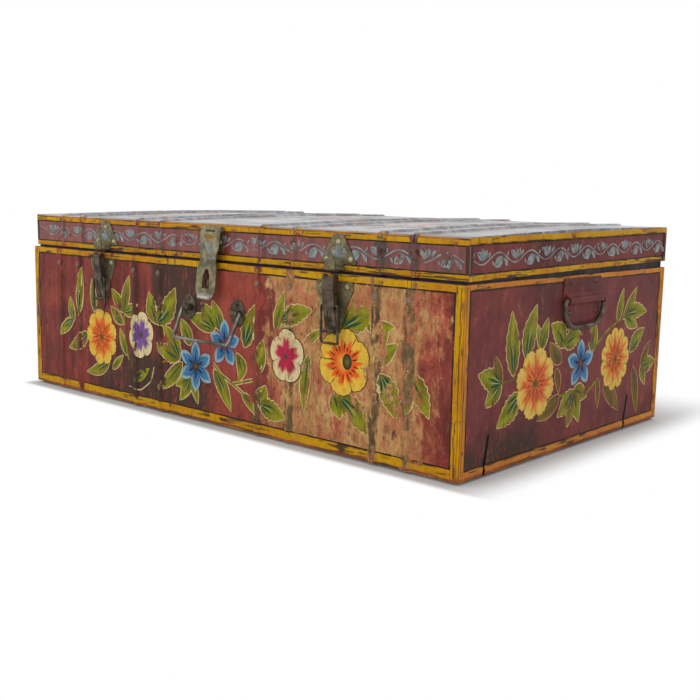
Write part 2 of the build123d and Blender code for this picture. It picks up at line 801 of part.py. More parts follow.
# Draw latches: base plate with two ears, pin, channel lever, wire loop; keeper plate on the lid
def latch(name):
    side = sides[name]
    middle = side * latch_x
    half = latch_plate_width / 2
    lever_half = lever_width / 2
    ear_outer = lever_half - lever_wall - ear_clearance
    with BuildPart() as base:
        with BuildSketch(elevation(body_face)):
            with Locations((middle, 0)):
                Polygon(
                    (-half, latch_plate_top),
                    (half, latch_plate_top),
                    (half, latch_rivet_z - 3),
                    (half * 0.52, latch_plate_bottom + 16),
                    (half * 0.36, latch_plate_bottom),
                    (-half * 0.36, latch_plate_bottom),
                    (-half * 0.52, latch_plate_bottom + 16),
                    (-half, latch_rivet_z - 3),
                    align=None,
                )
            fillet(vertices(), radius=3.0)
        extrude(amount=latch_plate)
        for way in (-1, 1):
            ear_middle = middle + way * (ear_outer - ear_thickness / 2)
            with BuildSketch(section(body_face, ear_middle)):
                with Locations((lever_pin_out, lever_pin_z)):
                    Circle(ear_radius)
                Polygon(
                    (lever_pin_out - ear_radius, lever_pin_z),
                    (lever_pin_out + ear_radius, lever_pin_z),
                    (lever_pin_out, lever_pin_z - 7.5),
                    (latch_plate / 2, lever_pin_z - 14),
                    (latch_plate / 2, lever_pin_z - 6),
                    align=None,
                )
                with Locations((lever_pin_out, lever_pin_z)):
                    Circle(lever_pin_radius + hole_clearance, mode=Mode.SUBTRACT)
            extrude(amount=ear_thickness / 2, both=True)
        holes = [p for p in latch_places if p[0] * side > 0]
        drill(body_face, holes, shank_hole, sheet, latch_plate)
    save(base, f"latch_base_{name}")

    with BuildPart() as pin_part:
        with BuildSketch(section(body_face, middle)):
            with Locations((lever_pin_out, lever_pin_z)):
                Circle(lever_pin_radius)
        extrude(amount=lever_half, both=True)
    save(pin_part, f"latch_pin_{name}")

    with BuildPart() as lever:
        with BuildSketch(section(body_face, middle)):
            with Locations((lever_pin_out, lever_pin_z)):
                Circle(lever_end_radius)
            Polygon(
                (lever_pin_out - lever_end_radius, lever_pin_z),
                (lever_front, lever_pin_z),
                (lever_front, lever_step_z),
                (lever_front - lever_step, lever_step_z - lever_step),
                (lever_foot_out, lever_foot_z),
                (lever_pin_out - 2.2, lever_foot_z),
                (lever_pin_out - lever_end_radius, lever_step_z),
                align=None,
            )
        extrude(amount=lever_half, both=True)
        with BuildSketch(section(body_face, middle)):
            with Locations((lever_pin_out, lever_pin_z)):
                Circle(lever_end_radius - lever_wall)
            Polygon(
                (-lever_front, lever_pin_z + 2 * lever_end_radius),
                (lever_front - lever_wall, lever_pin_z + 2 * lever_end_radius),
                (lever_front - lever_wall, lever_step_z),
                (lever_front - lever_step - lever_wall, lever_step_z - lever_step),
                (lever_foot_out - lever_wall, lever_foot_z),
                (lever_foot_out - lever_wall, lever_foot_z - 5),
                (-lever_front, lever_foot_z - 5),
                align=None,
            )
        extrude(amount=lever_half - lever_wall, both=True, mode=Mode.SUBTRACT)
        with BuildSketch(section(body_face, middle)):
            with Locations((lever_pin_out, lever_pin_z)):
                Circle(lever_pin_radius + hinge_clearance)
            with Locations((loop_pivot_out, loop_pivot_z)):
                Circle(loop_wire + loop_clearance)
        extrude(amount=lever_half + 1, both=True, mode=Mode.SUBTRACT)
        with BuildSketch(section(body_face, middle)):
            with BuildLine() as tab_line:
                tab = FilletPolyline(
                    (lever_foot_out - lever_wall / 2, lever_foot_z + 1),
                    (tab_out + lever_wall / 2, fork_bottom_z),
                    (tab_out, tab_bottom_z),
                    (tab_out + tab_curl, tab_bottom_z - tab_curl),
                    (tab_out + 2 * tab_curl, tab_bottom_z),
                    radius=1.2,
                )
            trace(line_width=lever_wall)
        extrude(amount=lever_half, both=True)
        with BuildSketch(elevation(body_face)):
            with Locations((middle, (fork_top_z + fork_bottom_z) / 2)):
                SlotOverall(fork_top_z - fork_bottom_z, fork_width, rotation=90)
        extrude(amount=2 * lever_front, mode=Mode.SUBTRACT)
    save(lever, f"latch_lever_{name}")

    inner_end = lever_half - lever_wall - loop_clearance
    pivot = elevation(body_face, loop_pivot_out)
    with BuildPart() as loop:
        with BuildLine(pivot) as loop_path:
            Polyline(
                *rod_points(
                    [
                        (middle - inner_end, loop_pivot_z),
                        (middle - loop_leg, loop_pivot_z),
                        (middle - loop_leg, loop_pivot_z - loop_length),
                        (middle + loop_leg, loop_pivot_z - loop_length),
                        (middle + loop_leg, loop_pivot_z),
                        (middle + inner_end, loop_pivot_z),
                    ],
                    [loop_bend] * 4,
                ),
            )
        with BuildSketch(
            Plane(origin=loop_path.line @ 0, z_dir=loop_path.line % 0, x_dir=(0, 0, 1))
        ):
            Circle(loop_wire)
        sweep(path=loop_path.line, transition=Transition.RIGHT)
    save(loop, f"latch_loop_{name}")

    keeper_half = keeper_width / 2
    with BuildPart() as keeper:
        with BuildSketch(elevation(lid_face)):
            with Locations((middle, 0)):
                Polygon(
                    (-keeper_half, keeper_bottom),
                    (keeper_half, keeper_bottom),
                    (keeper_half * 0.25, keeper_top),
                    (-keeper_half * 0.25, keeper_top),
                    align=None,
                )
            fillet(vertices(), radius=keeper_corner)
        extrude(amount=latch_plate)
        with BuildSketch(section(lid_face, middle)):
            with BuildLine():
                FilletPolyline(
                    (latch_plate / 2, keeper_bottom + 2),
                    (latch_plate / 2, catch_bottom),
                    (catch_reach, catch_bottom),
                    (catch_reach, catch_lip),
                    radius=catch_bend,
                )
            trace(line_width=latch_plate)
        extrude(amount=lever_half, both=True)
        holes = [p for p in keeper_places if p[0] * side > 0]
        drill(lid_face, holes, shank_hole, sheet, latch_plate)
    save(keeper, f"keeper_{name}")


for name in sides:
    latch(name)

with BuildPart() as latch_rivets:
    for x, z in latch_places:
        rivet(body_face, x, z, latch_plate, latch_plate + wall_and_rim, small_rivet_head)
save(latch_rivets, "latch_base_rivets")

with BuildPart() as keeper_rivets:
    for x, z in keeper_places:
        rivet(lid_face, x, z, latch_plate, latch_plate + sheet, small_rivet_head)
save(keeper_rivets, "keeper_rivets")


# Front bail: two saddle plates, and a bent rod whose ends turn in through them
def bail_eye(name):
    side = sides[name]
    x = bail_x + side * eye_spacing / 2
    bore = bail_rod + eye_clearance
    with BuildPart() as eye:
        with BuildSketch(elevation(body_face)):
            with BuildLine():
                ThreePointArc(
                    (x, bail_pivot_z - eye_height / 2),
                    (x + eye_width / 2, bail_pivot_z),
                    (x, bail_pivot_z + eye_height / 2),
                )
                ThreePointArc(
                    (x, bail_pivot_z + eye_height / 2),
                    (x - eye_width / 2, bail_pivot_z),
                    (x, bail_pivot_z - eye_height / 2),
                )
            make_face()
            with Locations((x, bail_pivot_z)):
                Rectangle(saddle_width, 2 * bore, mode=Mode.SUBTRACT)
        extrude(amount=eye_plate)
        with BuildSketch(section(body_face, x)):
            with Locations((bail_pivot_out, bail_pivot_z)):
                Circle(bore + eye_plate)
            with Locations((0, bail_pivot_z)):
                Rectangle(
                    bail_pivot_out, 2 * (bore + eye_plate), align=(Align.MIN, Align.CENTER)
                )
                Rectangle(
                    bail_pivot_out, 2 * bore, align=(Align.MIN, Align.CENTER), mode=Mode.SUBTRACT
                )
                Rectangle(
                    2 * (bore + eye_plate),
                    4 * (bore + eye_plate),
                    align=(Align.MAX, Align.CENTER),
                    mode=Mode.SUBTRACT,
                )
            with Locations((bail_pivot_out, bail_pivot_z)):
                Circle(bore, mode=Mode.SUBTRACT)
        extrude(amount=saddle_width / 2, both=True)
        holes = [p for p in eye_places if p[0] == x]
        drill(body_face, holes, shank_hole, sheet, eye_plate)
    save(eye, f"bail_eye_{name}")


for name in sides:
    bail_eye(name)

with BuildPart() as eye_rivets:
    for x, z in eye_places:
        rivet(body_face, x, z, eye_plate, eye_plate + sheet, small_rivet_head)
save(eye_rivets, "bail_eye_rivets")

bail_up = Vector(0, sin(radians(bail_lean)), cos(radians(bail_lean)))
bail_plane = Plane(
    origin=(bail_x, front_y - bail_pivot_out, bail_pivot_z), x_dir=(1, 0, 0), z_dir=bail_up
)
bail_tip = eye_spacing / 2 - saddle_width / 2 - bail_end_overhang
with BuildPart() as bail:
    with BuildLine(elevation(bail_plane)) as bail_path:
        Polyline(
            *rod_points(
                [
                    (-bail_tip, 0),
                    (-bail_arm_spacing / 2, 0),
                    (-bail_grip_spacing / 2, -bail_arm),
                    (bail_grip_spacing / 2, -bail_arm),
                    (bail_arm_spacing / 2, 0),
                    (bail_tip, 0),
                ],
                [bail_rod, bail_bend, bail_bend, bail_rod],
            ),
        )
    with BuildSketch(Plane(origin=bail_path.line @ 0, z_dir=bail_path.line % 0, x_dir=bail_up)):
        Circle(bail_rod)
    sweep(path=bail_path.line, transition=Transition.RIGHT)
save(bail, "front_bail")


# End handles: a strap rolled round the ring's bar, and a ring that hangs from it
def end_handle(name):
    side = sides[name]
    frame = end_face(side, end_handle_y)
    bore = ring_rod + ring_clearance
    roll = bore + end_plate
    with BuildPart() as strap:
        with BuildSketch(elevation(frame, -sheet)):
            with Locations((0, ring_pivot_z)):
                Rectangle(
                    end_plate_width, end_plate_top - ring_pivot_z, align=(Align.CENTER, Align.MIN)
                )
                Rectangle(
                    end_flap_width, ring_pivot_z - end_flap_bottom, align=(Align.CENTER, Align.MAX)
                )
            fillet(vertices().group_by(Axis.Y)[-1], radius=2.0)
            fillet(vertices().group_by(Axis.Y)[0], radius=2.0)
        extrude(amount=end_plate)
        with BuildSketch(section(frame)):
            with Locations((ring_pivot_out, ring_pivot_z)):
                Circle(roll)
            Polygon(
                (0, ring_pivot_z - roll - 1),
                (end_plate - sheet, ring_pivot_z - roll - 1),
                (ring_pivot_out, ring_pivot_z - roll),
                (ring_pivot_out, ring_pivot_z + roll),
                (end_plate - sheet, ring_pivot_z + roll + 3),
                (0, ring_pivot_z + roll + 3),
                align=None,
            )
            with Locations((ring_pivot_out, ring_pivot_z)):
                Circle(bore, mode=Mode.SUBTRACT)
        extrude(amount=end_flap_width / 2, both=True)
        drill(frame, end_places, shank_hole, sheet, end_plate)
    save(strap, f"end_strap_{name}")

    hang = elevation(frame, ring_pivot_out)
    half = ring_width / 2 - ring_rod
    drop = ring_depth - ring_rod
    bow = drop - 1.5 * ring_corner
    with BuildPart() as ring:
        with BuildLine(hang) as ring_path:
            Polyline(
                *rod_points(
                    [
                        (-half, ring_pivot_z),
                        (-half, ring_pivot_z - drop),
                        (half, ring_pivot_z - drop),
                        (half, ring_pivot_z),
                    ],
                    [ring_corner, bow, bow, ring_corner],
                    closed=True,
                ),
                close=True,
            )
        with BuildSketch(Plane(origin=ring_path.line @ 0, z_dir=ring_path.line % 0)):
            Circle(ring_rod)
        sweep(path=ring_path.line, transition=Transition.RIGHT)
    save(ring, f"end_ring_{name}")


for name in sides:
    end_handle(name)

with BuildPart() as end_rivets:
    for side in (-1, 1):
        for x, z in end_places:
            frame = end_face(side, end_handle_y)
            layers = 2 * sheet if z > body_height - rim_leg else sheet
            rivet(frame, x, z, end_plate - sheet, end_plate + layers, small_rivet_head)
save(end_rivets, "end_strap_rivets")
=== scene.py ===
# %% [markdown]
# # A small painted tin trunk
# The real trunk is thin sheet with pressed ribs, riveted fittings and many coats of brushed
# enamel. The CAD frame gives every rigid piece at its true size. What is left for Blender is
# the paint: worn ground colours, yellow lining, a scroll of leaves round the lid and bunches of
# flowers on the walls, and then the aged steel of the fittings.

# %% Setup
import math

import bpy
import numpy as np
from mathutils import Matrix, Vector


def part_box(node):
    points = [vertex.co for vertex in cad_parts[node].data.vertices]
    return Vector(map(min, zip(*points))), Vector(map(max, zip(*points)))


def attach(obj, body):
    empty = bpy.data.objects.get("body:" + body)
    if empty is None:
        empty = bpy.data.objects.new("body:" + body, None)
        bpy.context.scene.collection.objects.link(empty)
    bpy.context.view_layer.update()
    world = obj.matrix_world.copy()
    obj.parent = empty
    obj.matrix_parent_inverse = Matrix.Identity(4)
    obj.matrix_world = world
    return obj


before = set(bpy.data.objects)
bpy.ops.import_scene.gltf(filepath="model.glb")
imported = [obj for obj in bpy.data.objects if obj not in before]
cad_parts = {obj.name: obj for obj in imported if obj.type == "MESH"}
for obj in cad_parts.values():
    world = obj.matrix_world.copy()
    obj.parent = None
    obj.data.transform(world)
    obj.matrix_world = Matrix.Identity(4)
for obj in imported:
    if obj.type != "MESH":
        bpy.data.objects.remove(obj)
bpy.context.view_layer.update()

MM = 0.001

# %% [markdown]
# ## Measures of the tin
# Paint has to lie on the metal, so the places of the walls are read from the frame. The ribs
# stand out by a fixed rise, and the lid leans a little because the gap behind it is wider than
# the one in front.

# %% Measures
RIB_RISE = 1.8 * MM
RIB_FOOT = 5.0 * MM
RIB_CREST = 2.0 * MM
RIB_PAIRS = ((93.5 * MM, 41.0 * MM), (233.5 * MM, 36.0 * MM))
SHEET = 0.8 * MM
TURNED_EDGE = 5.0 * MM
EDGE_SLACK = 0.2 * MM
LID_SETBACK = 4.5 * MM
LID_FRONT_GAP = 2.2 * MM
LID_REAR_GAP = 6.4 * MM
LID_HEIGHT = 34.5 * MM
LID_CROWN = 3.0 * MM
LID_BEND = 4.0 * MM
LID_BLEND = 76.7 * MM
LID_MM = LID_HEIGHT / MM
# The slits of the ends, in mm: their feet from the middle, their height and their lean.
SLIT_FEET = (-143.0, 105.0)
SLIT_HEIGHT = 35.0
SLIT_LEAN = 7.0

sheet_low, sheet_high = (np.array(corner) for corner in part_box("body_sheet_left"))
HALF_WIDTH = -sheet_low[0]
FRONT_Y = sheet_low[1] + RIB_RISE
BACK_Y = sheet_high[1] - RIB_RISE
MIDDLE_Y = (FRONT_Y + BACK_Y) / 2
RIM_Z = sheet_high[2]
RIBS = np.array(
    [
        side * (mid + half * gap / 2)
        for side in (-1, 1)
        for mid, gap in RIB_PAIRS
        for half in (-1, 1)
    ]
)
LID_FLAT = BACK_Y - FRONT_Y - LID_SETBACK
LID_TILT = math.atan((LID_REAR_GAP - LID_FRONT_GAP) / LID_FLAT)
LID_DEPTH = LID_FLAT / math.cos(LID_TILT)
LID_ORIGIN = np.array([0.0, FRONT_Y + LID_SETBACK, RIM_Z + LID_FRONT_GAP])
LID_IN = np.array([0.0, math.cos(LID_TILT), math.sin(LID_TILT)])
LID_UP = np.array([0.0, -math.sin(LID_TILT), math.cos(LID_TILT)])
print("front wall at y", round(FRONT_Y / MM, 1), "mm, rim at z", round(RIM_Z / MM, 1), "mm")

# %% [markdown]
# ## Walls as functions
# Each painted wall is a function that takes two surface measures and a lift off the metal and
# gives points in space. A brush stroke is then drawn flat, in millimetres along the wall, and
# the wall bends it over the ribs and round the lid's edge. A flat film could also be shrink-
# wrapped on to the sheet; a formula puts each point exactly.


# %% Walls
def rib_rise(x):
    """Trapezoid of each rib: full rise over its crest, falling straight to nothing at its foot."""
    away = np.min(np.abs(x[..., None] - RIBS), axis=-1)
    return RIB_RISE * np.clip((RIB_FOOT - away) / (RIB_FOOT - RIB_CREST), 0, 1)


def long_wall(plane, side):
    """x runs along the wall and z up; y is its plane, moved out by the rib's rise and the lift."""
    return lambda x, z, lift: np.stack([x, plane + side * (rib_rise(x) + lift), z], axis=-1)


def end_wall(side):
    """s runs along the depth from the middle. The panel lies one sheet inside the turned edge."""

    def wall(s, z, lift):
        """x is the end's plane plus the lift, less one sheet where no edge is near."""
        half = (BACK_Y - FRONT_Y) / 2
        to_edge = np.minimum(half - np.abs(s), z - RIB_RISE)
        step = np.where(to_edge < TURNED_EDGE + EDGE_SLACK, 0.0, SHEET)
        return np.stack([side * (HALF_WIDTH - step + lift), MIDDLE_Y + s, z], axis=-1)

    return wall


def lid_top_height(d):
    """Crown of the lid: straight slopes from both edges, joined over the middle by a parabola."""
    away = np.abs(d - LID_DEPTH / 2)
    slope = LID_CROWN / (LID_DEPTH / 2)
    inner = away**2 / (2 * LID_BLEND) + LID_BLEND / 2
    return LID_HEIGHT + LID_CROWN - slope * np.where(away < LID_BLEND, inner, away)


def lid_place(x, d, h):
    """x across, d back from the lid's front and h up from its open edge, along the leaning lid."""
    place = LID_ORIGIN + d[..., None] * LID_IN + h[..., None] * LID_UP
    place[..., 0] = x
    return place


def lid_skin(x, s, lift):
    """s runs from the front's lower edge, up the flange, round the bend and over the top."""
    flat = LID_HEIGHT - LID_BEND
    quarter = LID_BEND * math.pi / 2
    turn = np.clip((s - flat) / LID_BEND, 0, math.pi / 2)
    top_d = LID_BEND + s - flat - quarter
    on_top = s > flat + quarter
    d = np.where(on_top, top_d, LID_BEND * (1 - np.cos(turn)))
    h = np.where(on_top, lid_top_height(top_d), np.minimum(s, flat) + LID_BEND * np.sin(turn))
    rise = rib_rise(x) + lift
    return lid_place(x, d - rise * np.cos(turn), h + rise * np.sin(turn))


def lid_end(side):
    """s runs back from the lid's front and h up from its open edge, inside the turned edge."""

    def wall(s, h, lift):
        """The same step of one sheet, on the leaning lid."""
        to_edge = np.minimum(np.minimum(s, LID_DEPTH - s), LID_HEIGHT - h)
        step = np.where(to_edge < TURNED_EDGE + EDGE_SLACK, 0.0, SHEET)
        return lid_place(side * (HALF_WIDTH - step + lift), s, h)

    return wall


def lid_back(x, h, lift):
    """The lid's rear flange, h up from its open edge."""
    return lid_place(x, LID_DEPTH + rib_rise(x) + lift, h)


print("lid leans", round(math.degrees(LID_TILT), 2), "degrees")

# %% [markdown]
# ## Shader helpers
# Paint and worn metal are mixed from noise by many small nodes. They could be wired by hand in
# the editor; here each call adds one node, links what is given to it and hands back its output
# as a wire. Wires can be added and multiplied like numbers, so a shader reads as a formula.


# %% Shader helpers
def srgb(red, green, blue):
    """A colour as it looks on a screen, 0 to 255, as the linear values that Blender mixes."""
    c = np.array([red, green, blue]) / 255
    return np.where(c < 0.04045, c / 12.92, ((c + 0.055) / 1.055) ** 2.4)


class Wire:
    """A node's output. Each sign between wires or numbers adds one Math node."""

    def __init__(self, tree, socket):
        self.tree, self.socket = tree, socket

    def __add__(self, other):
        return self.tree.math("ADD", self, other)

    def __sub__(self, other):
        return self.tree.math("SUBTRACT", self, other)

    def __rsub__(self, other):
        return self.tree.math("SUBTRACT", other, self)

    def __mul__(self, other):
        return self.tree.math("MULTIPLY", self, other)

    def __abs__(self):
        return self.tree.math("ABSOLUTE", self)


class Tree:
    """Adds shader nodes to a tree, one call each."""

    def __init__(self, tree):
        self.nodes, self.links = tree.nodes, tree.links

    def link(self, value, socket):
        """Feeds a socket from a wire, or sets it to a number or a colour."""
        if isinstance(value, Wire):
            self.links.new(value.socket, socket)
        else:
            socket.default_value = value

    def add(self, kind, ins=(), out=0, **settings):
        """A node of a kind, with its settings, what its sockets are given, and one output."""
        node = self.nodes.new("ShaderNode" + kind)
        for key, value in settings.items():
            setattr(node, key, value)
        for key, value in dict(ins).items():
            self.link(value, node.inputs[key])
        return Wire(self, node.outputs[out])

    def math(self, operation, a, b=0.0):
        """One Math node."""
        return self.add("Math", {0: a, 1: b}, operation=operation)

    def most(self, *values):
        """The largest of its values."""
        largest = values[0]
        for value in values[1:]:
            largest = self.math("MAXIMUM", largest, value)
        return largest

    def split(self, place):
        """The three measures of a place."""
        outputs = self.add("SeparateXYZ", {0: place}).socket.node.outputs
        return [Wire(self, output) for output in outputs]

    def fade(self, value, low, high, start=0.0, end=1.0):
        """Goes smoothly from start to end as value goes from low to high."""
        ins = {"Value": value, "From Min": low, "From Max": high, "To Min": start, "To Max": end}
        return self.add("MapRange", ins, interpolation_type="SMOOTHSTEP")

    def within(self, value, low, high, soft):
        """1 between low and high, falling to 0 over soft on both sides."""
        return self.fade(value, low - soft, low) * self.fade(value, high + soft, high)

    def blend(self, factor, a, b):
        """Mixes two colours, each a wire or three values from 0 to 255."""
        a, b = (v if isinstance(v, Wire) else (*srgb(*v), 1.0) for v in (a, b))
        return self.add("Mix", {0: factor, 6: a, 7: b}, out=2, data_type="RGBA")

    def noise(self, place, scale, detail=5.0, stretch=(1, 1, 1), shift=(0, 0, 0), rough=0.55):
        """Cloudy noise, stretched along an axis by a scale below 1."""
        moved = self.add("Mapping", {"Vector": place, "Scale": stretch, "Location": shift})
        ins = {"Vector": moved, "Scale": scale, "Detail": detail, "Roughness": rough}
        return self.add("TexNoise", ins)


def new_material(name):
    """An empty material with its Principled shader, and the tree that feeds it."""
    material = bpy.data.materials.new(name)
    material.use_nodes = True
    shader = material.node_tree.nodes["Principled BSDF"]
    return material, shader, Tree(material.node_tree)


print("shader helpers ready")

# %% [markdown]
# ## The ground coats
# Under the flowers the tin is brushed red-brown, dark and streaky at the left, rubbed through
# to tan primer and crimson at the right of the front, and purple-brown at the ends. All painted
# pieces read this one group at their own place, so that where a petal is worn the same ground
# shows through it. It could be one image wrapped round the tin; noise in the object's own
# measures needs no unwrapping.

# %% Ground group
GROUND = bpy.data.node_groups.new("ground_coats", "ShaderNodeTree")
for label, kind in (("Color", "Color"), ("Gloss", "Float"), ("Height", "Float"), ("Rib", "Float")):
    GROUND.interface.new_socket(label, in_out="OUTPUT", socket_type="NodeSocket" + kind)
t = Tree(GROUND)
place = t.add("TexCoord", out=3)
x, y, z = t.split(place)
streak = t.noise(place, 1.0, 6, (95, 40, 9))
mottle = t.noise(place, 26.0, 8, rough=0.65)
broad = t.noise(place, 9.0, 5, shift=(3, 0, 1))
fine = t.noise(place, 240.0, 6, (1, 1, 0.5), rough=0.7)
flake = t.noise(place, 62.0, 8, (1, 1, 0.6), shift=(7, 2, 5), rough=0.72)
flecks = t.noise(place, 420.0, 3, rough=0.6)

front = t.fade(y, FRONT_Y + 0.02, FRONT_Y + 0.004) * t.fade(z, RIM_Z + 0.002, RIM_Z)
facing = t.split(t.add("TexCoord", out=1))[1]
front = front * t.fade(facing, 0.1, -0.1)
ends = t.fade(abs(x), HALF_WIDTH - 0.0016, HALF_WIDTH - 0.0010)

coat = t.blend(t.fade(streak, 0.3, 0.7), (92, 42, 38), (142, 62, 54))
coat = t.blend(t.fade(mottle, 0.42, 0.72, 0.0, 0.5), coat, (160, 82, 66))
coat = t.blend(t.within(x, 0.0, 0.058, 0.02) * front * 0.6, coat, (168, 76, 62))
purple = t.blend(t.fade(broad, 0.35, 0.7), (122, 60, 59), (86, 46, 44))
purple = t.blend(t.fade(streak, 0.4, 0.75, 0.0, 0.5), purple, (132, 64, 58))
coat = t.blend(ends, coat, purple)
print("noises and browns:", len(GROUND.nodes), "nodes")

# %% [markdown]
# ## Soot and bare primer
# The foot of the front has gone black, with red embers of the old coat in the black, and the
# ends go darker towards the foot of their front half. The right of the front is rubbed down to
# tan primer stained crimson.
# Each zone could be a painted mask; here a zone along the wall, in metres from its middle, is
# added to noise and cut at a level, so its edge breaks up by itself.

# %% Soot and primer
low = t.within(x, -0.160, -0.015, 0.05) * t.fade(z, 0.090, 0.040)
mid = t.within(x, -0.065, -0.015, 0.04) * t.within(z, 0.115, 0.16, 0.03)
corner = ends * t.fade(z, 0.06, 0.015, 0.0, 0.8) * t.fade(y, MIDDLE_Y + 0.01, MIDDLE_Y - 0.09)
shade = t.most(front * t.most(low, mid), corner)
clouds = flake * 0.6 + mottle * 0.5
soot = t.fade(shade * 0.5 + clouds, 0.68, 0.98) * t.fade(shade, 0.0, 0.3)
coat = t.blend(soot * 0.92, coat, (66, 52, 44))
ember = t.fade(streak + fine, 1.06, 1.2) * soot
coat = t.blend(ember * 0.7, coat, (136, 58, 50))

wide = t.fade(x, 0.02, 0.125) * t.fade(x, 0.297, 0.268, 0.55, 1.0) * front
bare = t.fade(flake + wide * 0.47 + streak * 0.3, 0.93, 1.02)
primer = t.blend(t.fade(mottle, 0.35, 0.62), (176, 116, 74), (204, 162, 104))
primer = t.blend(t.fade(streak, 0.48, 0.7, 0.0, 0.4), primer, (150, 118, 70))
primer = t.blend(t.fade(fine, 0.46, 0.64, 0, 0.6), primer, (126, 88, 50))
rosy = t.noise(place, 1.0, 7, (80, 50, 42), (2, 8, 4), 0.7)
primer = t.blend(t.fade(rosy, 0.50, 0.58, 0.0, 0.6), primer, (182, 96, 74))
coat = t.blend(bare, coat, primer)

smear = t.noise(place, 1.0, 7, (46, 30, 13), (11, 4, 2), 0.75)
smear = smear + t.within(x, 0.262, 0.285, 0.012) * 0.08
smear = smear - t.within(x, 0.125, 0.23, 0.02) * 0.05
red = t.fade(smear, 0.52, 0.60) * t.fade(wide, 0.1, 0.6) * t.fade(flake, 0.36, 0.5)
crimson = t.blend(t.fade(mottle, 0.4, 0.6), (136, 56, 50), (174, 76, 64))
coat = t.blend(red * 0.9, coat, crimson)
print("soot and primer:", len(GROUND.nodes), "nodes")

# %% [markdown]
# ## Grime along the ribs
# A rib wears first and holds dirt along its foot. The dirt could be painted by hand; here the
# group measures how near a point is to a rib, darkens the coat there in broken patches, and
# adds cracks and specks. The slits at the foot of the ends are cut right through the sheet, and
# the paint round their edges is darkened nearly black as painted shade of the cut.

# %% Rib grime and slits
near = t.most(*[t.fade(abs(x - float(rib)), 0.010, 0.002) for rib in RIBS])
dapple = t.noise(place, 1.0, 6, (170, 120, 70), (5, 9, 2), 0.7)
ragged = wide * t.fade(dapple, 0.40, 0.58, 0.0, 0.15)
patches = flake * 0.55 + broad * 0.65
grime = t.fade(patches + near * (ragged + 0.20), 0.72, 0.86)
broken = t.fade(dapple * 0.5 + flake, 0.68, 0.80, 0.1, 1.0)
grime = grime * t.most(broken, 1.0 - wide)
rib_grey = t.blend(t.fade(mottle, 0.40, 0.60), (104, 96, 64), (66, 56, 46))
coat = t.blend(grime * 0.85, coat, t.blend(wide, (66, 46, 38), rib_grey))
coat = t.blend(t.fade(dapple, 0.48, 0.66, 0.0, 0.34), coat, (70, 40, 32))
coat = t.blend(t.fade(dapple, 0.46, 0.32, 0.0, 0.22), coat, (196, 116, 88))
crack = t.noise(place, 1.0, 4, (330, 60, 24), (1, 5, 3), 0.6)
crack = t.fade(crack, 0.64, 0.70) * t.fade(near, 0.1, 0.7)
coat = t.blend(crack * 0.85, coat, (44, 36, 30))
speck = t.fade(flecks, 0.60, 0.67) * t.fade(flake, 0.42, 0.56)
coat = t.blend(speck * 0.75, coat, (48, 36, 30))

# Painted shade: the ends go nearly black along the slits and round their edges.
depth = y - MIDDLE_Y
leaning = [z * (SLIT_LEAN / SLIT_HEIGHT) + foot * MM for foot in SLIT_FEET]
slit_painted_shade = t.most(*[t.fade(abs(depth - middle), 0.0026, 0.0017) for middle in leaning])
coat = t.blend(slit_painted_shade * (ends * t.fade(z, 0.037, 0.034)), coat, (22, 16, 14))

gloss = t.fade(mottle, 0.3, 0.75, 0.40, 0.60)
height = mottle * 0.5 + streak * 0.5
result = t.nodes.new("NodeGroupOutput")
for value, socket in zip((coat, gloss, height, near), result.inputs):
    t.link(value, socket)
print("ground group has", len(GROUND.nodes), "nodes")

# %% [markdown]
# ## Painted metal
# The sheets carry the ground alone, and the brush strokes carry a colour of their own that
# flakes off to the ground. Two layers of real paint could be stacked with a gap; one material
# that mixes both by noise shows the same chips with no gap, and a low bump gives the ridges of
# the brush.

# %% Painted metal
ENAMEL_SHINE = 0.1
RUBBED_SHINE = 0.6


def use_ground(t):
    """The ground group's colour, roughness, height and nearness to a rib, in another tree."""
    node = t.nodes.new("ShaderNodeGroup")
    node.node_tree = GROUND
    return [Wire(t, output) for output in node.outputs]


def dress(t, shader, colour, gloss, shine, height, depth=0.0006, strength=0.35):
    """Gives a shader its colour, roughness and bump, and sets how much it mirrors."""
    t.link(colour, shader.inputs["Base Color"])
    t.link(gloss, shader.inputs["Roughness"])
    shader.inputs["Specular IOR Level"].default_value = shine
    bump = t.add("Bump", {"Height": height, "Strength": strength, "Distance": depth})
    t.link(bump, shader.inputs["Normal"])


tin, shader, t = new_material("ground_paint")
colour, gloss, height, rib = use_ground(t)
dress(t, shader, colour, gloss, ENAMEL_SHINE, height)

paint, shader, t = new_material("brushed_colours")
colour, gloss, height, rib = use_ground(t)
place = t.add("TexCoord", out=3)
stroke = t.add("Attribute", out=0, attribute_name="paint")
worn = t.add("Attribute", out=2, attribute_name="worn")
fine = t.noise(place, 200.0, 6, (1, 1, 0.6), rough=0.7)
flake = t.noise(place, 75.0, 8, (1, 1, 0.6), (7, 2, 5), 0.72)
tone = t.blend(t.fade(fine, 0.35, 0.75, 0.0, 0.35), stroke, (60, 44, 28))
lost = t.fade(flake + (worn * 0.25 + rib * 0.09), 0.66, 0.74)
dress(t, shader, t.blend(lost, tone, colour), gloss, ENAMEL_SHINE, height)
print("paint materials:", tin.name, paint.name)
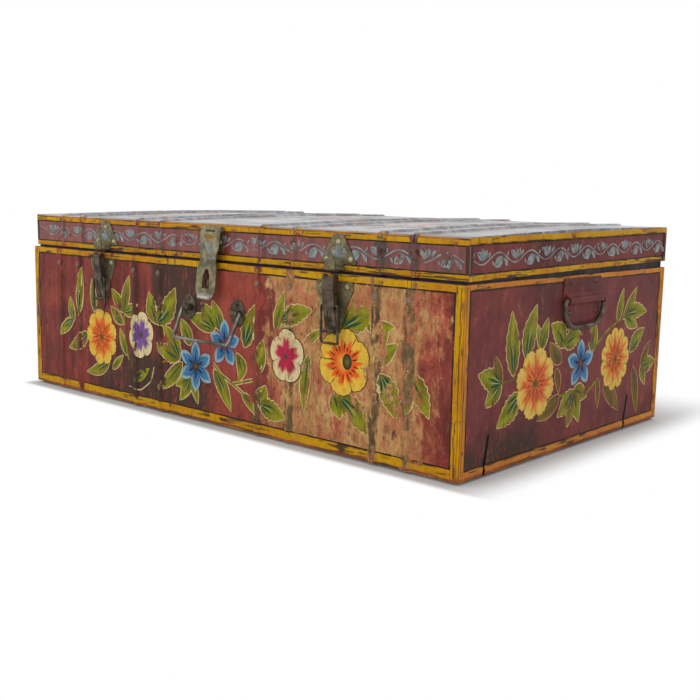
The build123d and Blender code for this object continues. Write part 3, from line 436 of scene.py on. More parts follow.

# %% [markdown]
# ## The lid's top
# The top is the most handled face: its enamel is rubbed shiny, with traces of flowers. Its coat
# runs in long streaks from dark grey-blue to nearly white, and the pale streaks are painted
# reflection of a white room. The sheet and the flowers on it share one streaked coat, so that
# they wear as one.


# %% Top material
def reflection_streaked_material(name, cover):
    """Long blue-grey streaks, the pale ones painted reflection, with traces of red; cover adds to
    that coat and hands it back.
    """
    material, shader, t = new_material(name)
    place = t.add("TexCoord", out=3)
    along = t.noise(place, 1.0, 8, (10, 130, 10), rough=0.7)
    wide = t.noise(place, 1.0, 5, (5, 26, 5), (6, 2, 3))
    patch = t.noise(place, 16.0, 6, shift=(2, 5, 1))
    # Painted reflection: the coat runs from dark grey-blue to nearly white in long streaks.
    coat = t.blend(t.fade(along + wide, 0.80, 1.24), (74, 70, 74), (156, 158, 166))
    coat = t.blend(t.fade(along, 0.56, 0.66, 0.0, 0.5), coat, (186, 188, 194))
    trace = t.noise(place, 1.0, 7, (22, 110, 9), (4, 1, 6), 0.65)
    coat = t.blend(t.fade(trace, 0.57, 0.63, 0.0, 0.55), coat, (176, 92, 62))
    coat = t.blend(t.fade(patch, 0.54, 0.70, 0.0, 0.35), coat, (118, 70, 64))
    gloss = t.fade(patch, 0.3, 0.7, 0.16, 0.34)
    dress(t, shader, cover(t, place, coat), gloss, RUBBED_SHINE, along + patch, 0.0008, 0.4)
    return material


def ground_below(t, place, coat):
    """The ground coat up to the lid's bend and the streaked coat of painted reflection above it."""
    bend = t.split(place)[2] - (RIM_Z + LID_FRONT_GAP + LID_HEIGHT - 0.0012)
    return t.blend(t.fade(bend, -0.0005, 0.0005), use_ground(t)[0], coat)


def flakes_above(t, place, coat):
    """The colour of the strokes where flakes of them have held."""
    stroke = t.add("Attribute", out=0, attribute_name="paint")
    flake = t.noise(place, 1.0, 8, (50, 120, 50), (7, 2, 5), 0.72)
    return t.blend(t.fade(flake, 0.47, 0.58, 0.0, 0.75), coat, stroke)


top = reflection_streaked_material("top_painted_reflection", ground_below)
top_paint = reflection_streaked_material("colours_on_painted_reflection", flakes_above)
print("top materials:", top.name, top_paint.name)

# %% [markdown]
# ## Aged steel
# Hasp, latches, keepers and hinges are old plated steel gone olive-brown, with paler wear on
# the high spots. The rod handles are rubbed brighter by hands. Each could have an image of its
# own; one function that blends two tones by noise serves them all, as only the tones, the shine
# and the scale differ.


# %% Steel materials
def aged_steel(name, dark, light, shine, metal=0.7, scale=90.0, rub_and_highlight_below=None):
    """Blotches from dark to light with dark grit; below a height nearly white, wear and painted
    highlight.
    """
    material, shader, t = new_material(name)
    place = t.add("TexCoord", out=3)
    blot = t.noise(place, scale, 7, rough=0.7)
    grit = t.noise(place, scale * 5, 5, rough=0.7)
    tone = t.blend(t.fade(blot, 0.36, 0.7), dark, light)
    tone = t.blend(t.fade(grit, 0.55, 0.75, 0.0, 0.4), tone, (46, 34, 24))
    if rub_and_highlight_below:
        # Nearly white below the height: wear, and a painted highlight on the hasp's bottom bead.
        rubbed = t.fade(t.split(place)[2], rub_and_highlight_below + 0.004, rub_and_highlight_below - 0.002)
        rubbed = rubbed * t.fade(grit, 0.62, 0.48, 0.35, 0.9)
        tone = t.blend(rubbed, tone, (192, 188, 178))
    t.link(tone, shader.inputs["Base Color"])
    t.link(t.fade(blot, 0.3, 0.7, shine + 0.22, shine), shader.inputs["Roughness"])
    shader.inputs["Metallic"].default_value = metal
    edge = t.add("Bevel", {"Radius": 0.0005}, samples=4)
    ins = {"Height": grit, "Strength": 0.3, "Distance": 0.0003, "Normal": edge}
    t.link(t.add("Bump", ins), shader.inputs["Normal"])
    return material


steel = aged_steel("aged_steel", (86, 76, 54), (142, 130, 96), 0.40)
# The hasp's bottom bead is painted nearly white, for its wear and for its highlight.
hasp_steel = aged_steel("hasp_steel", (92, 84, 62), (152, 142, 108), 0.38, rub_and_highlight_below=0.1285)
eye_steel = aged_steel("eye_steel", (66, 56, 44), (116, 102, 78), 0.42)
dark_steel = aged_steel("dark_steel", (56, 46, 38), (112, 96, 78), 0.42)
# The rim strips between lid and body are near black: painted shade of the gap they lie in.
rim_painted_shade = aged_steel("rim_steel_painted_shade", (26, 20, 18), (46, 35, 30), 0.6, metal=0.2)
rod_steel = aged_steel("rubbed_rod", (74, 69, 63), (148, 144, 136), 0.28, scale=45.0)
brass = aged_steel("pale_rivet", (128, 116, 82), (206, 198, 160), 0.28)

painted_head, shader, t = new_material("painted_rivet")
depth = t.split(t.add("TexCoord", out=3))[1]
proud = abs(depth - MIDDLE_Y) - (BACK_Y - MIDDLE_Y)
# Lighter, metallic top of each head: rubbed bare, and a painted highlight of the dome.
worn_top_and_highlight = t.fade(proud, RIB_RISE + 0.0011, RIB_RISE + 0.0014) * 0.55
head = t.blend(0.35, use_ground(t)[0], (88, 70, 62))
t.link(t.blend(worn_top_and_highlight, head, (136, 116, 104)), shader.inputs["Base Color"])
t.link(worn_top_and_highlight * 0.6, shader.inputs["Metallic"])
shader.inputs["Roughness"].default_value = 0.4
print("steels and painted rivets ready")

# %% [markdown]
# ## Who wears what
# Every piece of the frame gets one finish, found by the start of its name. The longest start
# that fits decides, so the rivets of a fitting can differ from the fitting. A material could be
# picked for each object by hand; with names, left and right always agree.

# %% Finishes
FINISHES = {
    painted_head: "rim_rivets",
    brass: "hasp_leaf_rivets keeper_rivets latch_base_rivets",
    dark_steel: "bail_eye_rivets end_strap_rivets hinge latch_lever latch_pin latch_loop end_ring",
    hasp_steel: "hasp",
    steel: "keeper latch_base",
    eye_steel: "bail_eye",
    rod_steel: "front_bail",
    rim_painted_shade: "rim",
    tin: "body_sheet end_panel end_strap lid_end",
    top: "lid_sheet",
}
finish_of = {start: finish for finish, starts in FINISHES.items() for start in starts.split()}
for node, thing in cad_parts.items():
    finish = finish_of[max((start for start in finish_of if node.startswith(start)), key=len)]
    if not thing.material_slots:
        thing.data.materials.append(finish)
    for material_slot in thing.material_slots:
        material_slot.material = finish
print("finishes given to", len(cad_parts), "nodes")

# %% [markdown]
# ## Brush strokes
# A stroke is a small grid with a colour at each point, kept as its layer, its two measures in
# millimetres along a wall, its colours and its wear. The strokes of a wall are laid in the
# order in which they would be painted, each a little over a thousandth of a millimetre above
# the last, so that later strokes cover earlier ones as paint does. They could be painted into
# an image; as geometry they stay sharp from near by and need no file.

# %% Stroke kit
CREAM = srgb(226, 198, 144)
ROSE = srgb(206, 142, 108)
OLIVE = srgb(92, 92, 20)
LIME = srgb(160, 158, 34)
BOTTLE = srgb(26, 78, 48)
INK = srgb(30, 24, 22)
YELLOW = srgb(208, 156, 2)
AMBER = srgb(190, 116, 12)
LIFT = 0.06 * MM
COAT = 0.0015 * MM


def grain(a, b, step_a, step_b, seed):
    """Value noise: random heights on a lattice of step_a by step_b, eased between its corners."""
    table = np.random.default_rng(seed).random((64, 64))
    u, v = a / step_a, b / step_b
    i, j = np.floor(u).astype(int), np.floor(v).astype(int)
    fu, fv = u - i, v - j
    fu, fv = fu * fu * (3 - 2 * fu), fv * fv * (3 - 2 * fv)
    i, j = i % 64, j % 64
    n, m = (i + 1) % 64, (j + 1) % 64
    low = table[i, j] * (1 - fu) + table[n, j] * fu
    high = table[i, m] * (1 - fu) + table[n, m] * fu
    return low * (1 - fv) + high * fv


def mix(amount, a, b):
    """a where amount is 0 and b where it is 1."""
    amount = np.clip(amount, 0, 1)[..., None]
    return a * (1 - amount) + b * amount


def blade(
    base, tip, width, tones, layer=0, bend=0.0, grow=0.0, peak=0.8,
    worn=0.5, steps=(15, 6), notch=0.0,
):
    """A leaf or petal. From base to tip its half-width is half of width, plus the margin grow,
    times the sine of pi u**peak to the power 0.85. Its rib bows by bend times 4u(1 - u), and
    notch makes the edge wavy. Its tone runs from dark at the base to light at the tip."""
    base, tip = np.array(base, float), np.array(tip, float)
    length = np.hypot(*(tip - base))
    ahead = (tip - base) / length
    aside = np.array([-ahead[1], ahead[0]])
    u, v = np.meshgrid(np.linspace(0, 1, steps[0]), np.linspace(-1, 1, steps[1]), indexing="ij")
    run = u * (length + 2 * grow) - grow
    half = (width / 2 + grow) * np.sin(np.pi * u**peak) ** 0.85
    half = half * (1 - notch * np.sin(20 * u) ** 2)
    off = v * half + bend * 4 * u * (1 - u)
    a = base[0] + ahead[0] * run + aside[0] * off
    b = base[1] + ahead[1] * run + aside[1] * off
    dark, light = tones if isinstance(tones, tuple) else (tones, tones)
    hatch = 0.4 * (grain(a, b, 1.5, 3.5, 5) - 0.5)
    wave = 0.15 + 0.7 * u + 0.25 * np.sin(4 * v + 5 * u + base[0]) + hatch
    rgb = mix(wave, dark, light)
    if width > 9 and light is LIME:
        rgb = mix((grain(a, b, 11.0, 9.0, 8) - 0.5) * 1.5, rgb, srgb(122, 92, 36))
    return layer, a, b, rgb, worn


def leaf(base, tip, width, tones=(OLIVE, LIME), bend=0.0, edge=CREAM, veins=2, layer=2, worn=0.5):
    """A blade with a pale outline under it, and dark veins and pale hairlines fanned on it."""
    notch = 0.16 if width > 16 else 0.0
    steps = (27, 6) if notch else (15, 6)
    form = {"worn": worn, "steps": steps, "notch": notch}
    strokes = [blade(base, tip, width, edge, layer - 1, bend, 1.05, **form)]
    strokes.append(blade(base, tip, width, tones, layer, bend, **form))
    base, tip = np.array(base, float), np.array(tip, float)
    aside = np.array([-(tip - base)[1], (tip - base)[0]]) / np.hypot(*(tip - base))
    fan = veins * 2 - 1
    for k in range(fan):
        shift = (k - (fan - 1) / 2) * width * 0.17
        far = 0.62 - 0.09 * abs(k - (fan - 1) / 2)
        start = base * 0.92 + tip * 0.08 + aside * (shift * 0.2 + bend * 0.4)
        stop = base * (1 - far) + tip * far + aside * (shift + bend * 0.9)
        tone, wide = (BOTTLE, width * 0.12) if k % 2 == 0 else (srgb(178, 190, 128), 0.7)
        strokes.append(blade(start, stop, wide, tone, layer + 1 + k % 2, worn=worn, steps=(9, 3)))
    return strokes


def disc(centre, radii, outline, tint, layer=4, worn=0.2, count=33):
    """A flower head: a square grid drawn out to a circle, then to outline(angle). tint(r, angle)
    gives its colours."""
    g = np.linspace(-1, 1, count)
    p, q = np.meshgrid(g, g, indexing="ij")
    px, pz = p * np.sqrt(1 - q * q / 2), q * np.sqrt(1 - p * p / 2)
    r, angle = np.hypot(px, pz), np.arctan2(pz, px)
    reach = outline(angle)
    a = centre[0] + radii[0] * px * reach
    b = centre[1] + radii[1] * pz * reach
    return layer, a, b, tint(r, angle), worn


print("blades, leaves and discs ready")

# %% [markdown]
# ## From strokes to films
# All strokes of a wall become one thin film, a mesh that lies on the metal and moves with its
# body. Colours and wear are stored at its points, where the paint material reads them. Each
# stroke could be an object, but one mesh for each wall is easier to move and to export.


# %% Films
def make_mesh(name, points, quads):
    """A mesh object from points and faces of four corners."""
    mesh = bpy.data.meshes.new(name)
    mesh.vertices.add(len(points))
    mesh.vertices.foreach_set("co", points.ravel())
    mesh.loops.add(quads.size)
    mesh.loops.foreach_set("vertex_index", quads.ravel())
    mesh.polygons.add(len(quads))
    mesh.polygons.foreach_set("loop_start", np.arange(len(quads)) * 4)
    mesh.update(calc_edges=True)
    mesh.validate()
    thing = bpy.data.objects.new(name, mesh)
    bpy.context.collection.objects.link(thing)
    return thing


def lay(name, strokes, wall, body, flip=False, cut=None, material=paint):
    """Joins strokes into one film on a wall, turns their faces outwards and colours their points.
    Faces whose middle lies where cut says so are left out."""
    points, quads, colours, wear, start = [], [], [], [], 0
    for order, (_, a, b, rgb, worn) in enumerate(sorted(strokes, key=lambda stroke: stroke[0])):
        points.append(wall(a * MM, b * MM, LIFT + COAT * order).reshape(-1, 3))
        index = start + np.arange(a.size).reshape(a.shape)
        corners = [index[:-1, :-1], index[1:, :-1], index[1:, 1:], index[:-1, 1:]]
        face = np.stack(corners[::-1] if flip else corners, axis=-1).reshape(-1, 4)
        if cut is not None:
            middle = [measure.ravel()[face - start].mean(axis=1) for measure in (a, b)]
            face = face[~cut(*middle)]
        quads.append(face)
        colours.append(np.broadcast_to(rgb, (*a.shape, 3)).reshape(-1, 3))
        wear.append(np.full(a.size, worn))
        start += a.size
    points, quads = np.concatenate(points), np.concatenate(quads)
    film = make_mesh(name, points, quads)
    tints = np.concatenate([np.concatenate(colours), np.ones((len(points), 1))], axis=1)
    attribute = film.data.attributes.new("paint", "FLOAT_COLOR", "POINT")
    attribute.data.foreach_set("color", np.clip(tints, 0, 1).ravel())
    attribute = film.data.attributes.new("worn", "FLOAT", "POINT")
    attribute.data.foreach_set("value", np.concatenate(wear))
    film.data.materials.append(material)
    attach(film, body)
    print(name, len(strokes), "strokes", len(quads), "faces")


print("films lie", round(LIFT / MM, 2), "mm off the metal")

# %% [markdown]
# ## Yellow lining
# Every wall is framed with a yellow band and a thin black line inside it, drawn by hand, so the
# edges wander and the yellow is rubbed dark along the folds. A plain strip would look printed,
# so a band is a long grid whose two edges are the straight line plus a little noise.


# %% Bands
def band(
    start, end, low, high, tones=(AMBER, YELLOW), across=False, layer=1, seed=1, wander=0.35
):
    """A strip from start to end between low and high. across lays it along the second measure.
    Its edges wander by noise, and thin dark scratches run along it, mostly by its edges."""
    rows = max(int(abs(end - start) / 1.3), 8)
    run, v = np.meshgrid(np.linspace(start, end, rows), np.linspace(0, 1, 9), indexing="ij")
    edge = (grain(run, run * 0 + 0.5, 9.0, 1.0, seed) - 0.5) * 2 * wander
    side = low + (high - low) * v + edge * np.abs(2 * v - 1)
    tone = mix(0.25 + grain(run, side, 40.0, 30.0, seed + 1), *tones)
    rub = 0.6 * grain(run, side, 12.0, 0.9, seed + 2) + 0.4 * grain(run, side, 60.0, 9.0, seed + 5)
    rub = rub + 0.10 * np.abs(2 * v - 1) ** 3
    tone = mix((rub - 0.66) * 9, tone, srgb(84, 62, 40))
    if across:
        return layer, side.T, run.T, np.swapaxes(tone, 0, 1), 0.35
    return layer, run, side, tone, 0.35


def line(start, end, low, high, across=False, seed=1, layer=0):
    """A thin black line, drawn like a band."""
    return band(start, end, low, high, (INK, srgb(44, 34, 28)), across, layer, seed, 0.25)


RUSTY = (srgb(84, 48, 34), srgb(168, 92, 48))
SCRATCHED = (srgb(58, 40, 28), AMBER)
ORANGE = (srgb(186, 110, 52), srgb(214, 140, 38))
wide_mm = HALF_WIDTH / MM
half_deep = (BACK_Y - FRONT_Y) / 2 / MM
rim_mm = RIM_Z / MM
foot_mm = (RIB_RISE / MM) + 0.6


def wall_frame(half, side_width, top_width, foot_width, seed, tones=(AMBER, YELLOW)):
    """Yellow bands and black lines round a body wall from -half to half, with a rusty bottom edge
    and a scratched fold at each side."""
    inner = half - side_width
    strokes = [
        line(-half, half, rim_mm - top_width - 1.5, rim_mm - top_width + 0.5, seed=seed),
        line(-half, half, foot_width - 0.5, foot_width + 1.4, seed=seed + 1),
        band(-half, half, rim_mm - top_width, rim_mm - 0.3, tones, seed=seed + 2),
        band(-half, half, foot_mm, foot_width, tones, seed=seed + 3),
        band(-half, half, foot_mm, foot_mm + 2.2, RUSTY, layer=3, seed=seed + 9, wander=0.8),
    ]
    for k, way in enumerate((-1, 1)):
        ends = sorted((way * inner, way * (inner - 1.8)))
        edges = sorted((way * half, way * (inner - 0.2)))
        strokes.append(line(foot_width, rim_mm - top_width, *ends, across=True, seed=seed + 4 + k))
        fold = sorted((way * (half - 3.4), way * (half - 2.2)))
        strokes.append(band(foot_mm, rim_mm - 0.3, *edges, tones, True, 2, seed + 6 + k))
        strokes.append(band(foot_mm + 2, rim_mm - 2, *fold, SCRATCHED, True, 3, seed + 8 + k, 0.9))
    return strokes


front_wall, back_wall = long_wall(FRONT_Y, -1), long_wall(BACK_Y, 1)
lay("lining_front", wall_frame(wide_mm - 0.2, 8.0, 6.0, 11.5, 10), front_wall, "trunk")
lay("lining_back", wall_frame(wide_mm - 0.2, 8.0, 6.0, 11.5, 30), back_wall, "trunk", True)


def in_slit(s, z):
    """True where the leaning slits at the foot of an end lie."""
    up = z / SLIT_HEIGHT
    inside = np.zeros(s.shape, bool)
    for foot in SLIT_FEET:
        inside |= (np.abs(s - foot - SLIT_LEAN * up) < 1.9 - 1.4 * up) & (up < 1)
    return inside


for side, label in ((-1, "left"), (1, "right")):
    strokes = wall_frame(half_deep - 0.2, 7.6, 4.5, 9.5, 50 + side * 5, ORANGE)
    lay(f"lining_{label}", strokes, end_wall(side), "trunk", side < 0, in_slit)

# %% [markdown]
# ## Lining and scroll of the lid
# The lid's flange has a yellow edge that wraps on to the top, a red-brown band with a running
# scroll of powder-blue leaves, and a lower yellow line. The scroll's stem is a cosine wave, and
# each of its hollows holds a bunch of small strokes. Every leaf could be placed by hand; one
# bunch that is repeated with small random shifts looks like a pattern the painter knows by
# heart.

# %% Lid lining
POWDER = (srgb(102, 116, 117), srgb(162, 173, 171))
SCROLL_MIDDLE = 17.0
SCROLL_STEP = 48.5
SCROLL_RISE = 4.4
CUT_RED = srgb(96, 50, 46)


def lid_frame(start, end, seed, dark=(27.6, 29.6), yellow=(28.9, LID_MM - 0.2)):
    """Lines and bands along a lid wall, by height above its open edge. dark and yellow say where
    the upper ones lie."""
    return [
        line(start, end, 4.4, 6.2, seed=seed),
        line(start, end, *dark, seed=seed + 1),
        band(start, end, 0.3, 4.9, seed=seed + 2),
        band(start, end, *yellow, seed=seed + 3),
    ]


def corner_lines(start, end, seed):
    """An upright black line by each corner of a lid wall."""
    tones = (INK, srgb(78, 56, 46))
    first = band(5.2, 28.4, start + 1.2, start + 4.8, tones, True, 2, seed + 4)
    last = band(5.2, 28.4, end - 4.8, end - 1.2, tones, True, 2, seed + 5)
    return [first, last]


def stem_height(a, phase):
    """The middle of the flange plus the rise times a cosine, with one turn for each step."""
    return SCROLL_MIDDLE + SCROLL_RISE * np.cos(2 * np.pi * (a - phase) / SCROLL_STEP)


BUNCH_BELOW = (
    ((4, 1.5), (-6, -6.5), 8.5, 0.8),
    ((5, 1.5), (1, -8.0), 5.0, -0.5),
    ((9, -1), (13, -7), 4.4, 0.4),
    ((6, 0), (10.5, -3.5), 2.2, 0.4),
    ((-10, -2), (-7, -6), 2.2, 0.3),
)
BUNCH_ABOVE = (
    ((3, -1.5), (-7, 5.5), 6.4, -0.9),
    ((4, -1), (-0.5, 8.0), 5.4, -0.4),
    ((5.5, -0.5), (6.5, 7.5), 4.0, 0.2),
    ((9, 0.5), (13, 5.5), 3.2, 0.4),
    ((-12, 0.5), (-9.5, 4.5), 2.0, 0.3),
)


def scroll(start, end, phase, seed):
    """A stem as a thin strip along the cosine, with a bunch below each crest and above each
    hollow."""
    a, v = np.meshgrid(np.linspace(start, end, 400), np.linspace(-1, 1, 3), indexing="ij")
    thick = 0.38 + 0.4 * grain(a, v, 8.0, 5.0, seed)
    tint = mix(grain(a, v, 6.0, 9.0, seed + 3), *POWDER)
    strokes = [(2, a, stem_height(a, phase) + v * thick, tint, 0.45)]
    draw = np.random.default_rng(seed)
    first, last = ((mark - phase) / (SCROLL_STEP / 2) for mark in (start + 10, end - 10))
    for k in range(math.ceil(first), math.floor(last) + 1):
        middle = phase + k * SCROLL_STEP / 2
        for root, tip, width, bow in BUNCH_ABOVE if k % 2 else BUNCH_BELOW:
            jog = draw.uniform(-0.7, 0.7, 3)
            base = (middle + root[0], SCROLL_MIDDLE + root[1] + jog[2] * 0.5)
            far = (middle + tip[0] + jog[0], SCROLL_MIDDLE + tip[1] + jog[1])
            strokes.append(blade(base, far, width, POWDER, 3, bow, peak=0.9, worn=0.45))
            if width > 5:
                cut = (base[0] * 0.4 + far[0] * 0.6, base[1] * 0.4 + far[1] * 0.6)
                end_cut = (far[0] + 0.6, far[1])
                strokes.append(blade(cut, end_cut, 1.0, CUT_RED, 4, worn=0.3, steps=(7, 3)))
    return strokes


span = (0.2 - wide_mm, wide_mm - 0.2)
fold = band(*span, LID_MM - 2.4, LID_MM - 0.9, (srgb(74, 52, 24), AMBER), layer=2, seed=77)
strokes = lid_frame(*span, 70, (27.0, 28.9), (28.3, LID_MM + 3.0)) + [fold]
strokes += corner_lines(-wide_mm - 1, wide_mm + 1, 90) + scroll(5 - wide_mm, wide_mm - 5, -7.0, 3)
lay("lid_lining_front", strokes, lid_skin, "lid")
deep_mm = LID_DEPTH / MM
for side, label in ((-1, "left"), (1, "right")):
    span = (0.3, deep_mm - 0.3, 80 + side)
    strokes = lid_frame(*span) + corner_lines(*span) + scroll(7, deep_mm - 7, 42.0, 5 + side)
    lay(f"lid_lining_{label}", strokes, lid_end(side), "lid", side < 0)
span = (0.3 - wide_mm, wide_mm - 0.3, 90)
lay("lid_lining_back", lid_frame(*span) + corner_lines(*span), lid_back, "lid", True)

# %% [markdown]
# ## Flowers
# The flower heads are discs whose rim and colours are functions of angle and radius: notched
# for the petals, yellow at the rim, orange inside, with dark short rays round an olive eye. The
# star flowers are pointed blades set round a point. Petals could be modelled one by one, but a
# formula draws a whole head at once and keeps it flat, as paint is.

# %% Flower heads
BLUE = (srgb(30, 84, 138), srgb(78, 142, 186))
PALE_BLUE = (srgb(104, 140, 160), srgb(158, 186, 196))
IVORY = srgb(226, 206, 154)


def petals(count, depth, ragged=0.0, turn=0.0):
    """An outline with count round lobes: 1 less depth in the notches, plus ragged small teeth."""

    def outline(angle):
        """The lobe is the root of a cosine with count turns, the teeth are a faster sine."""
        lobe = np.abs(np.cos(count * (angle - turn) / 2)) ** 0.5
        return 1 - depth * (1 - lobe) + ragged * np.sin(4.6 * count * angle)

    return outline


def dark_edge(centre, rx, rz, grow, outline):
    """A dark disc under a head and larger by grow, which shows as its drawn edge."""
    return disc(centre, (rx + grow, rz + grow), outline, lambda r, angle: INK, 3)


def rays(centre, radii, count, inner, outer, tone, width, layer=6, turn=0.1, jitter=1):
    """Short strokes pointing outwards between two shares of the radius."""
    draw = np.random.default_rng(jitter)
    strokes = []
    for k in range(count):
        angle = turn + 2 * np.pi * k / count + draw.uniform(-0.08, 0.08)
        ahead = np.array([radii[0] * np.cos(angle), radii[1] * np.sin(angle)])
        near, far = inner * draw.uniform(0.9, 1.1), outer * draw.uniform(0.8, 1.1)
        start, stop = centre + ahead * near, centre + ahead * far
        strokes.append(blade(start, stop, width, tone, layer, worn=0.4, steps=(7, 3)))
    return strokes


def marigold(centre, rx, rz, count, seed, rim=srgb(232, 190, 70), heart=srgb(228, 96, 38)):
    """A yellow ragged head with an orange middle that runs out along each petal."""
    centre = np.array(centre, float)

    def tint(r, angle):
        """The heart's edge is two cosines of the angle; flecks, dark notches and an eye follow."""
        reach = 0.67 + 0.13 * np.cos(count * angle) + 0.10 * np.sin(3 * count * angle + seed)
        tone = mix((reach - r) * 7 + 0.5, rim, heart)
        flecks = grain(angle * 9, r * 6, 1.0, 1.6, seed)
        tone = mix((flecks - 0.55) * 1.6 * (r < reach + 0.1), tone, srgb(240, 150, 60))
        lobe = np.abs(np.cos(count * (angle - seed) / 2))
        tone = mix((0.5 - 3.2 * lobe) * np.clip(r - 0.45, 0, 1) * 3, tone, srgb(104, 62, 28))
        return mix((0.16 - r) * 20, tone, srgb(96, 84, 30))

    size = (rx, rz)
    strokes = [disc(centre, size, petals(count, 0.18, 0.025, seed), tint)]
    strokes += rays(centre, size, count * 2, 0.24, 0.56, srgb(112, 40, 22), 1.0, jitter=seed)
    strokes += rays(centre, size, count, 0.14, 0.30, srgb(60, 44, 20), 0.9, 7, 0.3, seed + 5)
    return strokes


def pansy(centre, rx, rz, heart, count, turn):
    """A pale head of round petals with dark outlines and a coloured heart in each petal."""
    outline = petals(count, 0.20, 0.0, turn)

    def tint(r, angle):
        """The heart reaches furthest along each lobe, and the lines between lobes are dark."""
        lobe = np.abs(np.cos(count * (angle - turn) / 2))
        reach = 0.45 + 0.32 * lobe - 0.14 * np.clip((lobe - 0.9) / 0.1, 0, 1)
        tone = mix((reach - r) * 7 + 0.4, IVORY, heart)
        tone = mix(0.5 - 3.0 * lobe, tone, srgb(40, 26, 24))
        return mix((0.17 - r) * 18, tone, srgb(70, 74, 40))

    return [disc(centre, (rx, rz), outline, tint), dark_edge(centre, rx, rz, 0.9, outline)]


def star(centre, rx, rz, count, turn):
    """Pointed blue petals round a dark eye, each with a darker streak."""
    centre = np.array(centre, float)
    wide = 3.1 * min(rx, rz) / count
    strokes = []
    for k in range(count):
        angle = turn + 2 * np.pi * k / count
        ahead = np.array([rx * np.cos(angle), rz * np.sin(angle)])
        for near, far, share, tones, layer, shape in (
            (0.1, 1.0, 1.0, PALE_BLUE, 4, {"peak": 1.1}),
            (0.12, 0.86, 0.72, BLUE, 5, {"bend": 0.4}),
            (0.1, 0.5, 0.2, srgb(34, 46, 58), 6, {}),
        ):
            start, stop = centre + ahead * near, centre + ahead * far
            form = {"worn": 0.25, "steps": (11, 5), **shape}
            strokes.append(blade(start, stop, wide * share, tones, layer, **form))
    eye, tones = np.array((1.8, 0)), (srgb(40, 48, 52), srgb(150, 120, 60))
    strokes.append(blade(centre - eye, centre + eye, 4.5, tones, 7, worn=0.2, steps=(7, 5)))
    return strokes


print("flower heads ready")

# %% [markdown]
# ## The front's bouquet
# Leaves, stems and heads are written as they lie on the wall, in millimetres from its middle
# and from the floor. They could be scattered at random, but a painted bunch has an order, so
# each one is placed. A row of a leaf gives its base, its tip, its width, how far it bows and
# its veins.


# %% Front bouquet
def stem(*points, tone=(OLIVE, LIME), width=2.2, layer=1, worn=0.5):
    """A thin strip through points, eased between them."""
    knots = np.array(points, float)
    place = np.linspace(0, len(knots) - 1, 12 * len(knots))
    a = np.interp(place, np.arange(len(knots)), knots[:, 0])
    b = np.interp(place, np.arange(len(knots)), knots[:, 1])
    ease = np.ones(7) / 7
    a[3:-3], b[3:-3] = np.convolve(a, ease, "valid"), np.convolve(b, ease, "valid")
    da, db = np.gradient(a), np.gradient(b)
    size = np.hypot(da, db)
    v = np.linspace(-1, 1, 3)
    spread = width / 2 * v
    grid_a = a[:, None] - db[:, None] / size[:, None] * spread
    grid_b = b[:, None] + da[:, None] / size[:, None] * spread
    tint = mix(grain(grid_a, grid_b, 3.0, 3.0, 4), *tone)
    return [(layer, grid_a, grid_b, tint, worn)]


front_leaves = [
    (-216, 88, -210, 142, 13, 2, 2), (-228, 80, -234, 107, 11, 1, 3),
    (-229, 82, -253, 62, 12, -2, 3), (-201, 70, -238, 49, 17, 3, 2),
    (-187, 94, -192, 130, 11, 0, 1), (-160, 44, -204, 26, 13, 4, 2),
    (-134, 99, -155, 122, 13, 0, 1), (-134, 99, -124, 138, 13, 1, 1),
    (-134, 99, -110, 109, 13, -2, 2), (-136, 86, -157, 103, 12, 1, 2),
    (-129, 53, -141, 81, 9, 1, 1), (-155, 35, -136, 52, 8, 0, 1),
    (-77, 92, -90, 124, 19, 3, 1), (-77, 92, -48, 131, 24, -4, 2),
    (-41, 60, -78, 72, 18, 2, 1), (-41, 60, -68, 92, 20, -2, 2),
    (-37, 57, -76, 24, 15, 2, 1), (-24, 76, -40, 101, 15, -1, 1),
    (-24, 43, -47, 32, 11, 0, 1), (-24, 43, -41, 18, 13, 1, 2),
    (-24, 43, -13, 18, 10, 1, 2), (11, 56, 36, 18, 15, 2, 2),
    (12, 95, -27, 104, 16, -2, 2), (12, 95, -8, 120, 17, -2, 1),
    (22, 95, 9, 123, 15, 0, 2), (55, 83, 70, 125, 20, 1, 3),
    (44, 76, 46, 48, 13, 6.5, 1), (52, 38, 71, 20, 10, 2, 1),
    (76, 32, 84, 50, 14, 0, 1), (76, 32, 110, 23, 20, 0, 2),
    (74, 60, 80, 93, 13, 0, 0), (97, 102, 107, 140, 11, 1, 1),
    (103, 112, 142, 126, 19, 2, 3), (133, 95, 155, 111, 8, 0, 1),
    (139, 86, 134, 33, 12, -2, 1), (178, 114, 190, 142, 20, 0, 1),
    (178, 114, 216, 137, 22, -2, 2), (206, 117, 236, 121, 12, 0, 0),
    (216, 98, 229, 121, 12, 0, 1), (217, 86, 240, 107, 14, 1, 2),
    (222, 80, 240, 44, 22, 2, 3), (251, 86, 274, 50, 19, 2, 1),
    (251, 70, 252, 50, 12, 0, 1), (170, 56, 178, 34, 18, 0, 1),
    (176, 54, 212, 25, 24, 3, 2),
]
front_strokes = []
for base_x, base_z, tip_x, tip_z, width, bow, veins in front_leaves:
    # The paint at the far left has held best, and that of the rubbed right side least.
    worn = 0.1 if base_x < -210 else 0.38 if base_x < 120 else 0.62
    ends = (base_x, base_z), (tip_x, tip_z)
    front_strokes += leaf(*ends, width, bend=bow, veins=veins, worn=worn)
front_strokes += stem((-134, 100), (-132, 72), (-126, 48))
long_stem = ((10, 62), (22, 52), (37, 46), (54, 38), (71, 20))
for route in (long_stem, ((37, 45), (52, 49), (66, 53))):
    front_strokes += stem(*route, tone=(CREAM, CREAM), width=3.8, layer=0, worn=0.4)
    front_strokes += stem(*route, worn=0.4)
